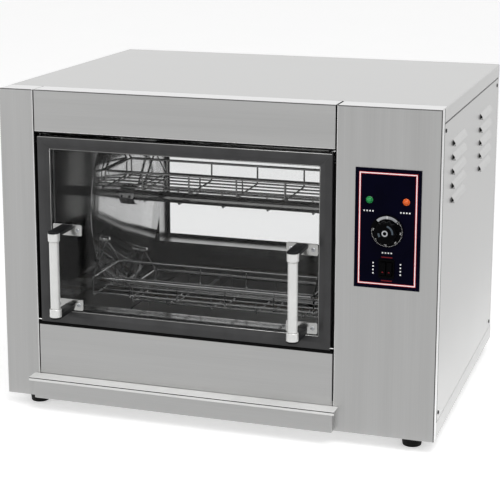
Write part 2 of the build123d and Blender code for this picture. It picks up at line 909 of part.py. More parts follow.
def control_plate():
    plate = block((plate_x0, plate_x1), (plate_y, y_front), (plate_z0, plate_z1))
    return plate.cut(*control_cuts((plate_y - overrun, y_front + overrun), fit_play))


def pilot_lamp(side):
    """A pilot lamp: rimmed lens in front, stem through the column, body behind."""
    stem_l = control_plate_t + sheet + pilot_body_l
    rim = tapered(pilot_r, pilot_r, pilot_rim_h, small_sides)
    lens = Pos(0, 0, pilot_rim_h) * tapered(pilot_stem_r, pilot_tip_r, pilot_lens_h, small_sides)
    stem = Pos(0, 0, -stem_l) * tapered(pilot_stem_r, pilot_stem_r, stem_l, small_sides)
    return facing(plate_mid + side * lamp_half_span, plate_y, pilot_z, rim + lens + stem)


def thermostat_body():
    half_w = thermostat_w / 2
    half_h = thermostat_h / 2
    back = y_front + sheet
    body = block((plate_mid - half_w, plate_mid + half_w), (back, back + thermostat_l),
                 (knob_z - half_h, knob_z + half_h))
    depth = back + spindle_tail + side_play
    return body - prism_y(plate_mid, back - overrun, depth, knob_z, corner_r(spindle_r + run_play))


knob_back = plate_y - knob_gap


def thermostat_spindle():
    return prism_y(plate_mid, knob_back - spindle_bite, y_front + sheet + spindle_tail, knob_z, spindle_r)


def thermostat_knob():
    """A fluted knob on a scale skirt, bored for the spindle."""
    skirt = tapered(skirt_r, skirt_r, skirt_t, skirt_sides)
    ring = []
    for number in range(2 * flute_count):
        turn = math.radians(180 / flute_count * number)
        radius = knob_r if number % 2 else knob_r - flute_bite
        ring.append((radius * math.cos(turn), radius * math.sin(turn)))
    grip = extrude(outline(Plane.XY, *ring), knob_l)
    grip = chamfer(grip.faces().sort_by(Axis.Z)[-1].edges(), knob_edge)
    bore = rod_z(0, 0, 0, spindle_bite, spindle_r)
    return facing(plate_mid, knob_back, knob_z, skirt + grip - bore)


rocker_axis_y = plate_y - bezel_t + rocker_pin_depth


def rocker_xs():
    """Middle of each rocker: left, then right."""
    return plate_mid - rocker_pitch / 2, plate_mid + rocker_pitch / 2


def switch_housing():
    """Bezel and body with a well for each rocker, and the rod that both rockers turn on."""
    bezel_y = (plate_y - bezel_t, plate_y)
    body_y = (plate_y, y_front + sheet + switch_body_l)
    bezel = block((plate_mid - bezel_w / 2, plate_mid + bezel_w / 2), bezel_y,
                  (switch_z - bezel_h / 2, switch_z + bezel_h / 2))
    body = block((plate_mid - switch_body_w / 2, plate_mid + switch_body_w / 2), body_y,
                 (switch_z - switch_body_h / 2, switch_z + switch_body_h / 2))
    half_w = rocker_w / 2 + rocker_play
    half_h = rocker_h / 2 + rocker_play
    wells = [block((x - half_w, x + half_w), (bezel_y[0] - overrun, bezel_y[0] + rocker_well),
                   (switch_z - half_h, switch_z + half_h)) for x in rocker_xs()]
    rod = prism_x(plate_mid - switch_body_w / 2, plate_mid + switch_body_w / 2, rocker_axis_y, switch_z,
                  rocker_pin_r, small_sides)
    return (bezel + body).cut(*wells) + rod


def rocker(x):
    """A shallow V-faced rocker, stored tilted to its off side."""
    slope = rocker_h / 2 * math.tan(math.radians(rocker_tilt))
    tip = rocker_h / 2 * math.cos(math.radians(rocker_tilt)) - rocker_play
    front = -rocker_pin_depth - rocker_proud
    face = outline(Plane.YZ, (front, -tip), (front + slope, 0), (front, tip), (rocker_root - slope, tip),
                   (rocker_root, 0), (rocker_root - slope, -tip))
    bar = Pos(-rocker_w / 2, 0, 0) * extrude(face, rocker_w)
    bore = rod_x(-rocker_w, rocker_w, 0, 0, rocker_pin_r + run_play)
    return Pos(x, rocker_axis_y, switch_z) * Rot(-rocker_tilt, 0, 0) * (bar - bore)


def tray_runners():
    """Channels on the base pan, along the liner's side walls, that the tray slides on."""
    y = (liner_front, liner_back)
    z = (z_floor, z_floor + runner_h)
    sides = ((open_x0, open_x0 + runner_w), (open_x1 - runner_w, open_x1))
    return [folded(x, y, z, ("-x", "+x", "+z"), wall=runner_t) for x in sides]


tray_x0 = open_x0 + tray_side_gap
tray_x1 = open_x1 - tray_side_gap
fascia_back = y_front - fascia_gap


def drip_tray():
    return folded((tray_x0, tray_x1), (fascia_back, y_front + tray_l), (tray_z0, tray_z0 + tray_h),
                  ("-x", "+x", "-y", "+y", "-z"), wall=tray_sheet)


def tray_front():
    """Hollow front of the tray with a lip along its top to pull by."""
    top = z_base + tray_bay_h - tray_play
    face = (open_x0 - fascia_over, open_x1 + fascia_over)
    edge = (open_x0 - lip_over, open_x1 + lip_over)
    front = fascia_back - fascia_depth
    fascia = folded(face, (front, fascia_back), (z_base + fascia_low, top), ("-x", "+x", "-y", "-z", "+z"),
                    wall=tray_sheet)
    lip = folded(edge, (front - lip_reach, front + tray_sheet), (top - lip_h, top), ("-y", "-z", "+z"),
                 wall=tray_sheet)
    ears = block(edge, (front, fascia_back), (top - tray_sheet, top))
    return fascia + lip + ears


def terminal_block():
    """A row of screw terminals on the floor of the control column."""
    y = y_back - block_from_back
    body = block((supply_x - block_l / 2, supply_x + block_l / 2), (y - block_w / 2, y + block_w / 2),
                 (z_floor, z_floor + block_h))
    pitch = block_l / block_ways
    half = pitch * block_slot_share
    slots = []
    for number in range(block_ways):
        x = supply_x - block_l / 2 + pitch * (number + 1 / 2)
        slots.append(block((x - half, x + half), (y - block_w, y + block_w),
                           (z_floor + block_h - block_slot_depth, z_floor + block_h + overrun)))
    return body.cut(*slots)


def cable_gland():
    """A gland through the rear panel for the supply, with a nut on each side."""
    z = z_base + gland_rise
    panel = y_back - sheet
    outer = prism_y(supply_x, y_back, y_back + gland_nut_t, z, gland_nut_r, head_sides)
    inner = prism_y(supply_x, panel - gland_nut_t, panel, z, gland_nut_r, head_sides)
    tail = gland_nut_t + gland_tail
    body = prism_y(supply_x, panel - tail, y_back + tail, z, gland_r)
    bore = rod_y(supply_x, panel - tail - overrun, y_back + tail + overrun, z, gland_bore_r)
    return outer + inner + body - bore


def nodes():
    """Every piece by its node name; a list holds identical separate pieces."""
    rails = door_rails()
    top_heater_runs, lower_heater_runs = heater_places()
    left_rocker_x, right_rocker_x = rocker_xs()
    pieces = {
        "base_pan": base_pan(),
        "feet": feet(),
        "left_side_panel": side_panel((x_left, x_left + panel_flange), "-x"),
        "right_side_panel": right_side_panel(),
        "top_cover": top_cover(),
        "rear_panel": rear_panel(),
        "rear_window_gasket": rear_window_gasket(),
        "rear_window_glass": rear_window_glass(),
        "left_front_column": front_column((x_left, open_x0), open_x0, x_left),
        "control_column": control_column(),
        "front_header": front_header(),
        "lower_front_panel": lower_front_panel(),
        "chamber_left_wall": chamber_wall((wall_x0, open_x0)),
        "chamber_right_wall": chamber_right_wall(),
        "chamber_ceiling": chamber_ceiling(),
        "chamber_rear_wall": chamber_rear_wall(),
        "door_stops": door_stops(),
        "top_heater": heater(top_heater_runs),
        "lower_rear_heater": heater(lower_heater_runs),
        "heater_supports": heater_supports(),
        "lamp_socket": lamp_socket(),
        "lamp_bulb": lamp_bulb(),
        "shaft_bearings": [bearing(wall_x0, -1), bearing(wall_x1, 1)],
        "motor_bracket": motor_bracket(),
        "gear_motor": gear_motor(),
        "drive_coupling": drive_coupling(),
        "rotor_shaft": rotor_shaft(),
        "left_disc": rotor_disc(disc_x0, 1),
        "right_disc": rotor_disc(disc_x1, -1),
        "basket_pins": basket_pins(),
        "door_top_rail": drilled_for_pin(rails["door_top_rail"]),
        "door_bottom_rail": rails["door_bottom_rail"],
        "door_left_stile": drilled_for_pin(rails["door_left_stile"]),
        "door_right_stile": drilled_for_pin(rails["door_right_stile"]),
        "door_glass": door_glass(),
        "door_hinge_pins": door_hinge_pins(),
        "door_hinge_brackets": door_hinge_brackets(),
        "left_handle_bar": handle_bar(handle_xs[0]),
        "right_handle_bar": handle_bar(handle_xs[1]),
        "handle_caps": handle_caps(),
        "handle_arms": handle_arms(),
        "handle_plates": handle_plates(),
        "control_plate": control_plate(),
        "green_lamp": pilot_lamp(-1),
        "orange_lamp": pilot_lamp(1),
        "thermostat_body": thermostat_body(),
        "thermostat_spindle": thermostat_spindle(),
        "thermostat_knob": thermostat_knob(),
        "switch_housing": switch_housing(),
        "rotation_rocker": rocker(left_rocker_x),
        "lamp_rocker": rocker(right_rocker_x),
        "tray_runners": tray_runners(),
        "drip_tray": drip_tray(),
        "tray_front": tray_front(),
        "terminal_block": terminal_block(),
        "cable_gland": cable_gland(),
    }
    for number, (y, z) in enumerate(pivot_places(), 1):
        pieces[f"basket_{number}"] = basket(y, z)
    return pieces


def main():
    os.makedirs("parts", exist_ok=True)
    for name, piece in nodes().items():
        if isinstance(piece, list):
            piece = Compound([part.solid() for part in piece])
        export_step(piece, f"parts/{name}.step")


main()
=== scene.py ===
"""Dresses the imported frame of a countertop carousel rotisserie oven.

Profiles and outlines are in millimetres. Everything else is in metres.
"""

import json
import math

import bmesh
import bpy
from bpy.props import FloatProperty, FloatVectorProperty, IntProperty, PointerProperty
from mathutils import Matrix, Vector


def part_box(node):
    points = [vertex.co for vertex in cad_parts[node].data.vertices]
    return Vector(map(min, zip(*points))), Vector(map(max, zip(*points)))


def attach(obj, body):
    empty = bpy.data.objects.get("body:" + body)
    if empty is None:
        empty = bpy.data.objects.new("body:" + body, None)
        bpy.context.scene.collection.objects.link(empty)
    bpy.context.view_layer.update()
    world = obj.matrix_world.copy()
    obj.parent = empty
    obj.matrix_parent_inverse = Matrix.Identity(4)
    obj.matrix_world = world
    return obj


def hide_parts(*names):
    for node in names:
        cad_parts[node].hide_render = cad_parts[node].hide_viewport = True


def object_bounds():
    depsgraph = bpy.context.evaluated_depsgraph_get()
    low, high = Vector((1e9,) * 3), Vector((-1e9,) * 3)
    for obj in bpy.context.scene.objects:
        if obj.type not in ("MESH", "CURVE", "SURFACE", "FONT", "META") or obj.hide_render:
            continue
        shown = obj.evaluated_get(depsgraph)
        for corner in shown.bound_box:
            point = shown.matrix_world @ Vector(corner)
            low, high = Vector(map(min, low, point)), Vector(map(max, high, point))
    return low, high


bl_info = {
    "name": "Carousel rotisserie oven",
    "version": (1, 0, 0),
    "blender": (4, 5, 0),
    "location": "3D View > Sidebar > Rotisserie",
    "description": "Builds the visible pieces and finishes of a rotisserie oven around its packed frame",
    "category": "Object",
}

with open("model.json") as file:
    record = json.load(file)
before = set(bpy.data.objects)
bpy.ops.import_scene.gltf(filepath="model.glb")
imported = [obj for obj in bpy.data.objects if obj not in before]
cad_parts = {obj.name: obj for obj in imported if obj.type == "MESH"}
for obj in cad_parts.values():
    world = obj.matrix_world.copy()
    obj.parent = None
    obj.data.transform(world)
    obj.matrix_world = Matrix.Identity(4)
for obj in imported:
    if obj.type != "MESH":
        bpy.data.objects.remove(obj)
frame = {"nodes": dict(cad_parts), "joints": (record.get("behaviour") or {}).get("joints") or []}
cad_low, cad_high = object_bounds()
MM = 0.001
UP = Vector((0, 0, 1))
FRONT = Vector((0, -1, 0))
BACK = -FRONT
RIGHT = Vector((1, 0, 0))
BASKETS = ("basket_1", "basket_2", "basket_3", "basket_4")
SCREW = ((0, 0.7), (0.9, 0.7), (1.4, 1.5), (2.6, 1.4), (3.4, 1.0), (3.8, 0.4), (3.8, 0), (0, 0))
MERGE = 1e-6


def length(label, what, size):
    return FloatProperty(name=label, description=what, default=size * MM, unit="LENGTH", precision=4)


def count(label, what, number, least):
    return IntProperty(name=label, description=what, default=number, min=least)


def colour(label, what, *rgb):
    return FloatVectorProperty(name=label, description=what, default=rgb, subtype="COLOR", min=0, max=1)


def amount(label, what, number, **kind):
    return FloatProperty(name=label, description=what, default=number, **kind)


class RotisserieForm(bpy.types.PropertyGroup):
    """Sizes of the visible pieces that the frame leaves open."""
    rim_wire: length("Rim wire", "Thickness of a basket's rim", 5.0)
    basket_wire: length("Basket wire", "Thickness of the wires of a basket's floor and sides", 3.4)
    hanger_wire: length("Hanger wire", "Thickness of the wires that a basket hangs by", 4.0)
    wire_bend: length("Wire bend", "Inside radius of a bend in a basket wire", 6.0)
    basket_w: length("Basket width", "Basket from side to side", 130.0)
    rim_drop: length("Rim drop", "From a basket's pivot down to its rim", 57.0)
    basket_depth: length("Basket depth", "From the rim down to the floor", 35.0)
    floor_wires: count("Floor wires", "Wires along a basket's floor", 5, 2)
    cross_wires: count("Cross wires", "Wires across a basket", 6, 3)
    heater_bend: length("Heater bend", "Radius of the bends of a heating element", 34.0)
    fold: length("Fold", "Outer radius of a fold in the front panels", 1.6)
    louvre_l: length("Louvre length", "Louvre from end to end", 114.0)
    louvre_front: length("Front louvres", "From the front to the middle of the front louvres", 160.0)
    louvre_rear: length("Rear louvres", "From the back to the middle of the rear louvres", 173.0)
    louvre_drop: length("Louvre drop", "From the top to the foot of the upper louvre", 78.0)
    louvre_pitch: length("Louvre pitch", "From one louvre to the next", 25.0)
    louvre_rows: count("Louvre rows", "Louvres one above the other", 5, 1)
    plate_w: length("Plate width", "Handle plate from side to side", 57.0)
    plate_h: length("Plate height", "Handle plate from top to bottom", 21.0)
    dial_ticks: count("Dial ticks", "Marks on the scale of the knob", 41, 2)


class RotisserieFinish(bpy.types.PropertyGroup):
    """Base colours of the finishes."""
    steel: colour("Steel", "Brushed stainless sheet", 0.56, 0.56, 0.555)
    # The liner's base colour is darker than the steel's: painted shade for the dim inside of the oven.
    liner: colour("Liner", "Polished stainless sheet of the oven", 0.34, 0.34, 0.335)
    # The plating colour is also that of the door frame's bright beads, which are painted highlights.
    plating: colour("Plating", "Bright plated trim", 0.56, 0.56, 0.55)
    frame_paint: colour("Frame paint", "Satin paint of the door frame", 0.028, 0.028, 0.029)
    bar: colour("Handle bar", "Pale anodised bar", 0.80, 0.80, 0.79)
    black: colour("Black", "Matt black moulding", 0.012, 0.012, 0.013)
    overlay: colour("Overlay", "Printed film of the control plate", 0.0007, 0.0006, 0.0065)
    print_white: colour("White print", "White marks", 0.85, 0.85, 0.85)
    print_red: colour("Red print", "Border line of the overlay", 0.72, 0.03, 0.04)
    green: colour("Green", "Pilot lamp at the left", 0.004, 0.34, 0.07)
    orange: colour("Orange", "Pilot lamp at the right", 0.88, 0.13, 0.008)
    rubber: colour("Rubber", "Feet and gasket", 0.005, 0.005, 0.005)


class RotisserieStage(bpy.types.PropertyGroup):
    """Camera and light."""
    camera: FloatVectorProperty(name="Camera", description="Place of the camera",
                                default=(0.839, -2.6761, 0.991), subtype="TRANSLATION")
    azimuth: amount("Azimuth", "Turn of the camera to the right", math.radians(18.36), subtype="ANGLE")
    elevation: amount("Elevation", "Downward tilt of the camera", math.radians(11.74), subtype="ANGLE")
    lens: amount("Lens", "Focal length in millimetres", 106.9)
    shift_x: amount("Shift across", "Sideways shift of the frame", 0.026)
    shift_y: amount("Shift up", "Upward shift of the frame", -0.147)
    world: amount("World", "Strength of the even light", 0.55, min=0)
    low_card: amount("Low card", "Tone of the card on the floor", 0.72, min=0)
    side_card: amount("Side card", "Tone of the card beside the oven", 0.84, min=0)
    high_card: amount("High card", "Tone of the upright card", 0.66, min=0)
    key: amount("Key", "Power of the main lamp", 60.0, unit="POWER")
    fill: amount("Fill", "Power of the lamp at the left", 18.0, unit="POWER")


def form():
    return bpy.context.scene.rotisserie_form


# Finishes

NOISE_LOW, NOISE_HIGH = 0.3, 0.7
COLOUR_A, COLOUR_B, COLOUR_RESULT = 6, 7, 2
WHITE = (1, 1, 1, 1)
EVEN, MOTTLED = (0.96, 1.03), (0.85, 1.2)


def add(tree, kind, inputs, **settings):
    """A new node, with its settings made and its inputs linked or given constants."""
    node = tree.nodes.new("ShaderNode" + kind)
    for name, value in settings.items():
        setattr(node, name, value)
    for socket, value in inputs.items():
        if isinstance(value, bpy.types.NodeSocket):
            tree.links.new(value, node.inputs[socket])
        else:
            node.inputs[socket].default_value = value
    return node


def surface(name, base, sockets):
    """A new material with its constant values set on the shader."""
    material = bpy.data.materials.new(name)
    material.use_nodes = True
    shader = material.node_tree.nodes["Principled BSDF"]
    shader.inputs["Base Color"].default_value = (*base, 1)
    for socket, value in sockets.items():
        shader.inputs[socket].default_value = value
    return material, material.node_tree, shader


def noise(tree, scale, detail):
    """Noise over Object coordinates, stretched by a different scale along each axis."""
    place = add(tree, "TexCoord", {}).outputs["Object"]
    mapping = add(tree, "Mapping", {"Vector": place, "Scale": scale})
    texture = add(tree, "TexNoise", {"Vector": mapping.outputs["Vector"], "Scale": 1.0, "Detail": detail})
    return texture.outputs["Fac"]


def roughen(tree, shader, value, low, high):
    """Roughness between two limits, by a noise."""
    limits = {"From Min": NOISE_LOW, "From Max": NOISE_HIGH, "To Min": low, "To Max": high}
    node = add(tree, "MapRange", {"Value": value, **limits})
    tree.links.new(node.outputs["Result"], shader.inputs["Roughness"])


def shade(tree, shader, value, base, dark, light):
    """Base colour between a darker and a lighter tone of one colour, by a noise."""
    node = add(tree, "ValToRGB", {"Fac": value})
    for end, place, tone in zip(node.color_ramp.elements, (NOISE_LOW, NOISE_HIGH), (dark, light)):
        end.position = place
        end.color = (*[min(1, part * tone) for part in base], 1)
    tree.links.new(node.outputs["Color"], shader.inputs["Base Color"])


def relief(tree, shader, value, strength, depth):
    """Fine bumps, by a noise."""
    node = add(tree, "Bump", {"Strength": strength, "Distance": depth, "Height": value})
    tree.links.new(node.outputs["Normal"], shader.inputs["Normal"])


def banded(tree, shader, axis, place, half, tone, roughness=None):
    """A band of another tone, and of another roughness if given, about one place on an axis."""
    split = add(tree, "SeparateXYZ", {"Vector": add(tree, "TexCoord", {}).outputs["Object"]})
    inside = add(tree, "Math", {0: split.outputs[axis], 1: place, 2: half}, operation="COMPARE").outputs[0]
    tint, rough = shader.inputs["Base Color"], shader.inputs["Roughness"]
    colours = {COLOUR_A: tint.links[0].from_socket, COLOUR_B: (tone, tone, tone, 1)}
    mix = add(tree, "Mix", {"Factor": inside, **colours}, data_type="RGBA")
    tree.links.new(mix.outputs[COLOUR_RESULT], tint)
    if roughness is not None:
        mix = add(tree, "Mix", {"Factor": inside, "A": rough.links[0].from_socket, "B": roughness})
        tree.links.new(mix.outputs["Result"], rough)


def brushed(name, base, along, edges=(), rough=(0.29, 0.38), grain=700.0, tones=(0.94, 1.04)):
    """Sheet metal brushed along one axis, with bands of other tones: painted shade at its seams, painted
    light on its folded edges.
    """
    material, tree, shader = surface(name, base, {"Metallic": 1.0})
    axis = "xyz".index(along)
    patch, streak_run, patch_run = 55.0, 6.0, 1.4
    fine, broad = [grain] * 3, [patch] * 3
    fine[axis], broad[axis] = streak_run, patch_run
    streaks = noise(tree, fine, detail=3.0)
    patches = noise(tree, broad, detail=2.0)
    mixed = add(tree, "Mix", {"Factor": 0.5, "A": streaks, "B": patches}).outputs["Result"]
    shade(tree, shader, mixed, base, *tones)
    roughen(tree, shader, mixed, *rough)
    relief(tree, shader, streaks, strength=0.10, depth=0.00015)
    for edge in edges:
        banded(tree, shader, *edge)
    return material


def moulded(name, base, roughness, sockets, tones=MOTTLED, grain=1500.0, depth=0.00008):
    """Moulding or paint with a fine even texture."""
    material, tree, shader = surface(name, base, sockets)
    spread, patch = 0.12, 30.0
    texture = noise(tree, (grain, grain, grain), detail=2.0)
    mottle = noise(tree, (patch, patch, patch), detail=3.0)
    shade(tree, shader, mottle, base, *tones)
    roughen(tree, shader, mottle, roughness * (1 - spread), roughness * (1 + spread))
    relief(tree, shader, texture, strength=0.25, depth=depth)
    return material


def clear(name, base, ior):
    """Clear glass with a trace of wiping marks."""
    material, tree, shader = surface(name, base, {"Transmission Weight": 1.0, "IOR": ior})
    marks = noise(tree, (14.0, 14.0, 40.0), detail=4.0)
    roughen(tree, shader, marks, low=0.0, high=0.012)
    return material


def heat_tinted(name, base):
    """Sheath of a heating element, browned unevenly."""
    material, tree, shader = surface(name, base, {"Metallic": 1.0})
    patches = noise(tree, (26.0, 60.0, 60.0), detail=4.0)
    shade(tree, shader, patches, base, dark=0.6, light=1.7)
    roughen(tree, shader, patches, low=0.35, high=0.6)
    return material


def seen_rays(tree):
    """One for what is looked at, straight, in gloss or through glass, and nought for what only lights."""
    path = add(tree, "LightPath", {}).outputs
    seen = path["Is Camera Ray"]
    for ray in ("Is Glossy Ray", "Is Transmission Ray"):
        seen = add(tree, "Math", {0: seen, 1: path[ray]}, operation="MAXIMUM").outputs[0]
    return seen


def seam_shade(node, *sides):
    """Painted shade: dark bands along named sides of a sheet, standing in for the shadow in the gaps at its
    seams.
    """
    low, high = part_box(node)
    places = {"front": ("Y", low.y, 0.004), "rear": ("Y", high.y, 0.002), "top": ("Z", high.z, 0.0022)}
    dark = 0.02
    return [(*places[side], dark) for side in sides]


def lit_returns():
    """Painted light: bright bands on the parts of the front panels that are folded over the top and the right
    side.
    """
    thin, top_tone, side_tone = 0.0003, 0.76, 0.8
    return [("Z", cad_high.z, thin, top_tone), ("X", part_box("control_column")[1].x, thin, side_tone)]


PLAIN = {}
LENS = {"Transmission Weight": 0.12}
DULL = {"Specular IOR Level": 0.14}
DARK = {"Specular IOR Level": 0.03}
SATIN = {"Metallic": 0.45}
POLISHED_LEDGE = ("Z", 0.175, 0.0015, 0.36, 0.12)
# Painted light: a lighter band on the basket wires low in the oven
LIT_LOWER_WIRES = ("Z", 0.16, 0.14, 0.5)
# By the material's name: its maker, its colour or the property that holds it, and the maker's other values
FINISHES = {
    # Painted light: bright bands on the returns folded over the top and the right side
    "steel_upright": (brushed, "steel", "z", lit_returns()),
    "steel_across": (brushed, "steel", "x", lit_returns()),
    "steel_sill": (brushed, "steel", "x", [POLISHED_LEDGE]),
    # Painted shade along the seams of the top cover and the side panels
    "steel_top": (brushed, "steel", "x", seam_shade("top_cover", "front")),
    "steel_side": (brushed, "steel", "z", seam_shade("right_side_panel", "front", "rear", "top")),
    "steel_deep": (brushed, "steel", "y"),
    # Painted shade: the liner's dark base colour
    "polished_liner": (brushed, "liner", "z", (), (0.06, 0.16), 500.0),
    "mirror_disc": (brushed, (0.5, 0.5, 0.5), "z", (), (0.08, 0.14), 420.0, (0.92, 1.05)),
    # Bright plating of the pins and handle plates; also painted highlights on the door frame's edges.
    "bright_plating": (brushed, "plating", "x", (), (0.10, 0.22), 900.0, (0.9, 1.06)),
    # Painted shade: the wire's base colour is darker than the plating's, for wires seen against the bright
    # window; painted light in the lower band.
    "basket_wire": (brushed, (0.42, 0.42, 0.415), "x", [LIT_LOWER_WIRES], (0.10, 0.22), 900.0, (0.9, 1.06)),
    # Painted shade: the shaft's dark base colour stands in for the dim inside of the oven that it reflects.
    "turned_shaft": (brushed, (0.34, 0.34, 0.335), "x", (), (0.03, 0.07), 900.0, (0.92, 1.05)),
    # Painted highlight and painted shade: light and dark copies of the fold beads' steel
    "bright_fold": (brushed, (0.9, 0.9, 0.89), "z", (), (0.22, 0.34), 600.0, EVEN),
    "shaded_fold": (brushed, (0.11, 0.11, 0.11), "z", (), (0.3, 0.4), 600.0, EVEN),
    "blackened_screw": (brushed, (0.03, 0.03, 0.032), "z", (), (0.35, 0.5), 300.0),
    "zinc_plate": (brushed, (0.50, 0.51, 0.53), "z", (), (0.3, 0.45), 300.0),
    "silver_print": (brushed, (0.55, 0.56, 0.58), "x", (), (0.25, 0.4), 900.0),
    # Painted highlights: the dim silver arcs on the knob's crown
    "dim_silver_print": (brushed, (0.10, 0.125, 0.15), "x", (), (0.3, 0.45), 900.0),
    "satin_lip": (moulded, (0.74, 0.74, 0.73), 0.45, PLAIN, EVEN, 900.0, 0.00002),
    "pale_bar": (moulded, "bar", 0.34, SATIN, (0.97, 1.03), 1200.0, 0.00003),
    "frame_paint": (moulded, "frame_paint", 0.38, PLAIN, MOTTLED, 1800.0, 0.00003),
    "black_moulding": (moulded, "black", 0.42, DULL),
    "gloss_black": (moulded, (0.0016, 0.0016, 0.002), 0.24, DARK, MOTTLED, 900.0, 0.00002),
    # Black rubber of the door seal; also painted shade in the louvres' ends and in the groove of the tray's
    # lip.
    "seal_rubber": (moulded, (0.004, 0.004, 0.004), 0.6, DARK, MOTTLED, 1100.0, 0.0001),
    "rubber": (moulded, "rubber", 0.6, DULL, MOTTLED, 1100.0, 0.0001),
    "overlay_film": (moulded, "overlay", 0.3, DARK, MOTTLED, 700.0, 0.00002),
    "white_print": (moulded, "print_white", 0.5, PLAIN, (0.95, 1.04)),
    "red_print": (moulded, "print_red", 0.5, PLAIN, (0.95, 1.05)),
    "dim_red_print": (moulded, (0.17, 0.004, 0.008), 0.5, DULL, (0.9, 1.1)),
    "green_lens": (moulded, "green", 0.12, LENS, (0.7, 1.3), 300.0, 0.00004),
    "orange_lens": (moulded, "orange", 0.12, LENS, (0.7, 1.2), 300.0, 0.00004),
    "motor_paint": (moulded, (0.16, 0.17, 0.18), 0.45, PLAIN),
    "pale_moulding": (moulded, (0.74, 0.71, 0.65), 0.5, PLAIN, (0.93, 1.04)),
    "element_sheath": (heat_tinted, (0.16, 0.13, 0.11)),
    "clear_glass": (clear, (0.86, 0.863, 0.863), 1.25),
}
MADE = {}


def look(name):
    """The material of that name, made the first time that it is asked for."""
    if name not in MADE:
        maker, base, *values = FINISHES[name]
        if isinstance(base, str):
            base = getattr(bpy.context.scene.rotisserie_finish, base)
        MADE[name] = maker(name, base, *values)
    return MADE[name]


# Mesh tools


def mm(x, y, z):
    """A step that is given in millimetres."""
    return Vector((x, y, z)) * MM


def block(low, high):
    """A box between two corners."""
    bm = bmesh.new()
    low, high = Vector(low), Vector(high)
    size = Matrix.Diagonal((*(high - low), 1))
    bmesh.ops.create_cube(bm, size=1, matrix=Matrix.Translation((low + high) / 2) @ size)
    return bm


def ease(bm, radius, segments=3, edges=None):
    """Rounds edges, or every edge."""
    bmesh.ops.bevel(bm, geom=list(edges or bm.edges), offset=radius, offset_type="OFFSET", affect="EDGES",
                    segments=segments, profile=0.5, material=-1, clamp_overlap=True)
    return bm


def merged(*meshes):
    """One mesh of several, which are freed."""
    whole = bmesh.new()
    carrier = bpy.data.meshes.new("carrier")
    for bm in meshes:
        bm.to_mesh(carrier)
        whole.from_mesh(carrier)
        bm.free()
    bpy.data.meshes.remove(carrier)
    return whole


def placed(bm, matrix):
    bmesh.ops.transform(bm, matrix=matrix, verts=bm.verts)
    return bm


def facing(place, axis):
    """A matrix that stands local Z along an axis at a place."""
    return Matrix.Translation(place) @ UP.rotation_difference(axis).to_matrix().to_4x4()


def lathe(profile, place, axis, steps=48):
    """A turned piece: radius and height pairs spun round an axis."""
    bm = bmesh.new()
    ring = [bm.verts.new((radius * MM, 0, height * MM)) for radius, height in profile]
    for first, second in zip(ring, ring[1:]):
        bm.edges.new((first, second))
    bmesh.ops.spin(bm, geom=bm.verts[:] + bm.edges[:], cent=(0, 0, 0), axis=UP, angle=math.tau, steps=steps,
                   use_merge=True)
    bmesh.ops.remove_doubles(bm, verts=bm.verts, dist=MERGE)
    bmesh.ops.recalc_face_normals(bm, faces=bm.faces)
    return placed(bm, facing(place, axis))


def drawn_out(places, *moves):
    """A flat outline that is extruded once for each matrix."""
    bm = bmesh.new()
    face = bm.faces.new([bm.verts.new(place) for place in places])
    for move in moves:
        raised = bmesh.ops.extrude_face_region(bm, geom=[face, *face.edges])["geom"]
        face = next(item for item in raised if isinstance(item, bmesh.types.BMFace))
        bmesh.ops.transform(bm, matrix=move, verts=face.verts)
    bmesh.ops.recalc_face_normals(bm, faces=bm.faces)
    return bm


def prism(points, depth, place, axis):
    """A flat outline in millimetres, raised along an axis."""
    bm = drawn_out([(x * MM, y * MM, 0) for x, y in points], Matrix.Translation(UP * depth * MM))
    return placed(bm, facing(place, axis))


def knots(path, bend, closed):
    """Curve points of a bent wire: place, then the handles before and after it."""
    longest_share, handle_share = 0.45, 0.55
    spots = []
    for number, here in enumerate(path):
        here = Vector(here)
        if not closed and number in (0, len(path) - 1):
            spots.append((here, None, None))
            continue
        before = Vector(path[number - 1]) - here
        after = Vector(path[(number + 1) % len(path)]) - here
        reach = min(bend, before.length * longest_share, after.length * longest_share)
        start = here + before.normalized() * reach
        end = here + after.normalized() * reach
        spots.append((start, None, start.lerp(here, handle_share)))
        spots.append((end, end.lerp(here, handle_share), None))
    return spots


def made_mesh(curve):
    """The mesh of a curve, which is removed."""
    carrier = bpy.data.objects.new("carrier", curve)
    bpy.context.scene.collection.objects.link(carrier)
    mesh = bpy.data.meshes.new_from_object(carrier.evaluated_get(bpy.context.evaluated_depsgraph_get()))
    bm = bmesh.new()
    bm.from_mesh(mesh)
    bpy.data.objects.remove(carrier)
    bpy.data.curves.remove(curve)
    bpy.data.meshes.remove(mesh)
    return bm


def bent_wires(paths, thickness, bend, closed=False, sides=4):
    """Round wires along paths, with their corners bent."""
    curve = bpy.data.curves.new("wires", "CURVE")
    curve.dimensions = "3D"
    curve.bevel_depth = thickness / 2
    curve.bevel_resolution = sides
    curve.resolution_u = 5
    curve.use_fill_caps = True
    for path in paths:
        spots = knots(path, bend, closed)
        spline = curve.splines.new("BEZIER")
        spline.bezier_points.add(len(spots) - 1)
        spline.use_cyclic_u = closed
        for point, (place, before, after) in zip(spline.bezier_points, spots):
            point.handle_left_type = "FREE" if before else "VECTOR"
            point.handle_right_type = "FREE" if after else "VECTOR"
            point.co = place
            point.handle_left = before or place
            point.handle_right = after or place
    bm = made_mesh(curve)
    bmesh.ops.remove_doubles(bm, verts=bm.verts, dist=MERGE)
    bmesh.ops.recalc_face_normals(bm, faces=bm.faces)
    return bm


def lettering(text, height, place, turn):
    """Flat generic lettering on a front face."""
    curve = bpy.data.curves.new("letters", "FONT")
    curve.body = text
    curve.size = height * MM
    curve.align_x = "CENTER"
    curve.align_y = "CENTER"
    curve.extrude = 0.06 * MM
    stand = Matrix.Rotation(math.radians(90), 4, "X") @ Matrix.Rotation(turn, 4, "Z")
    return placed(made_mesh(curve), Matrix.Translation(place) @ stand)


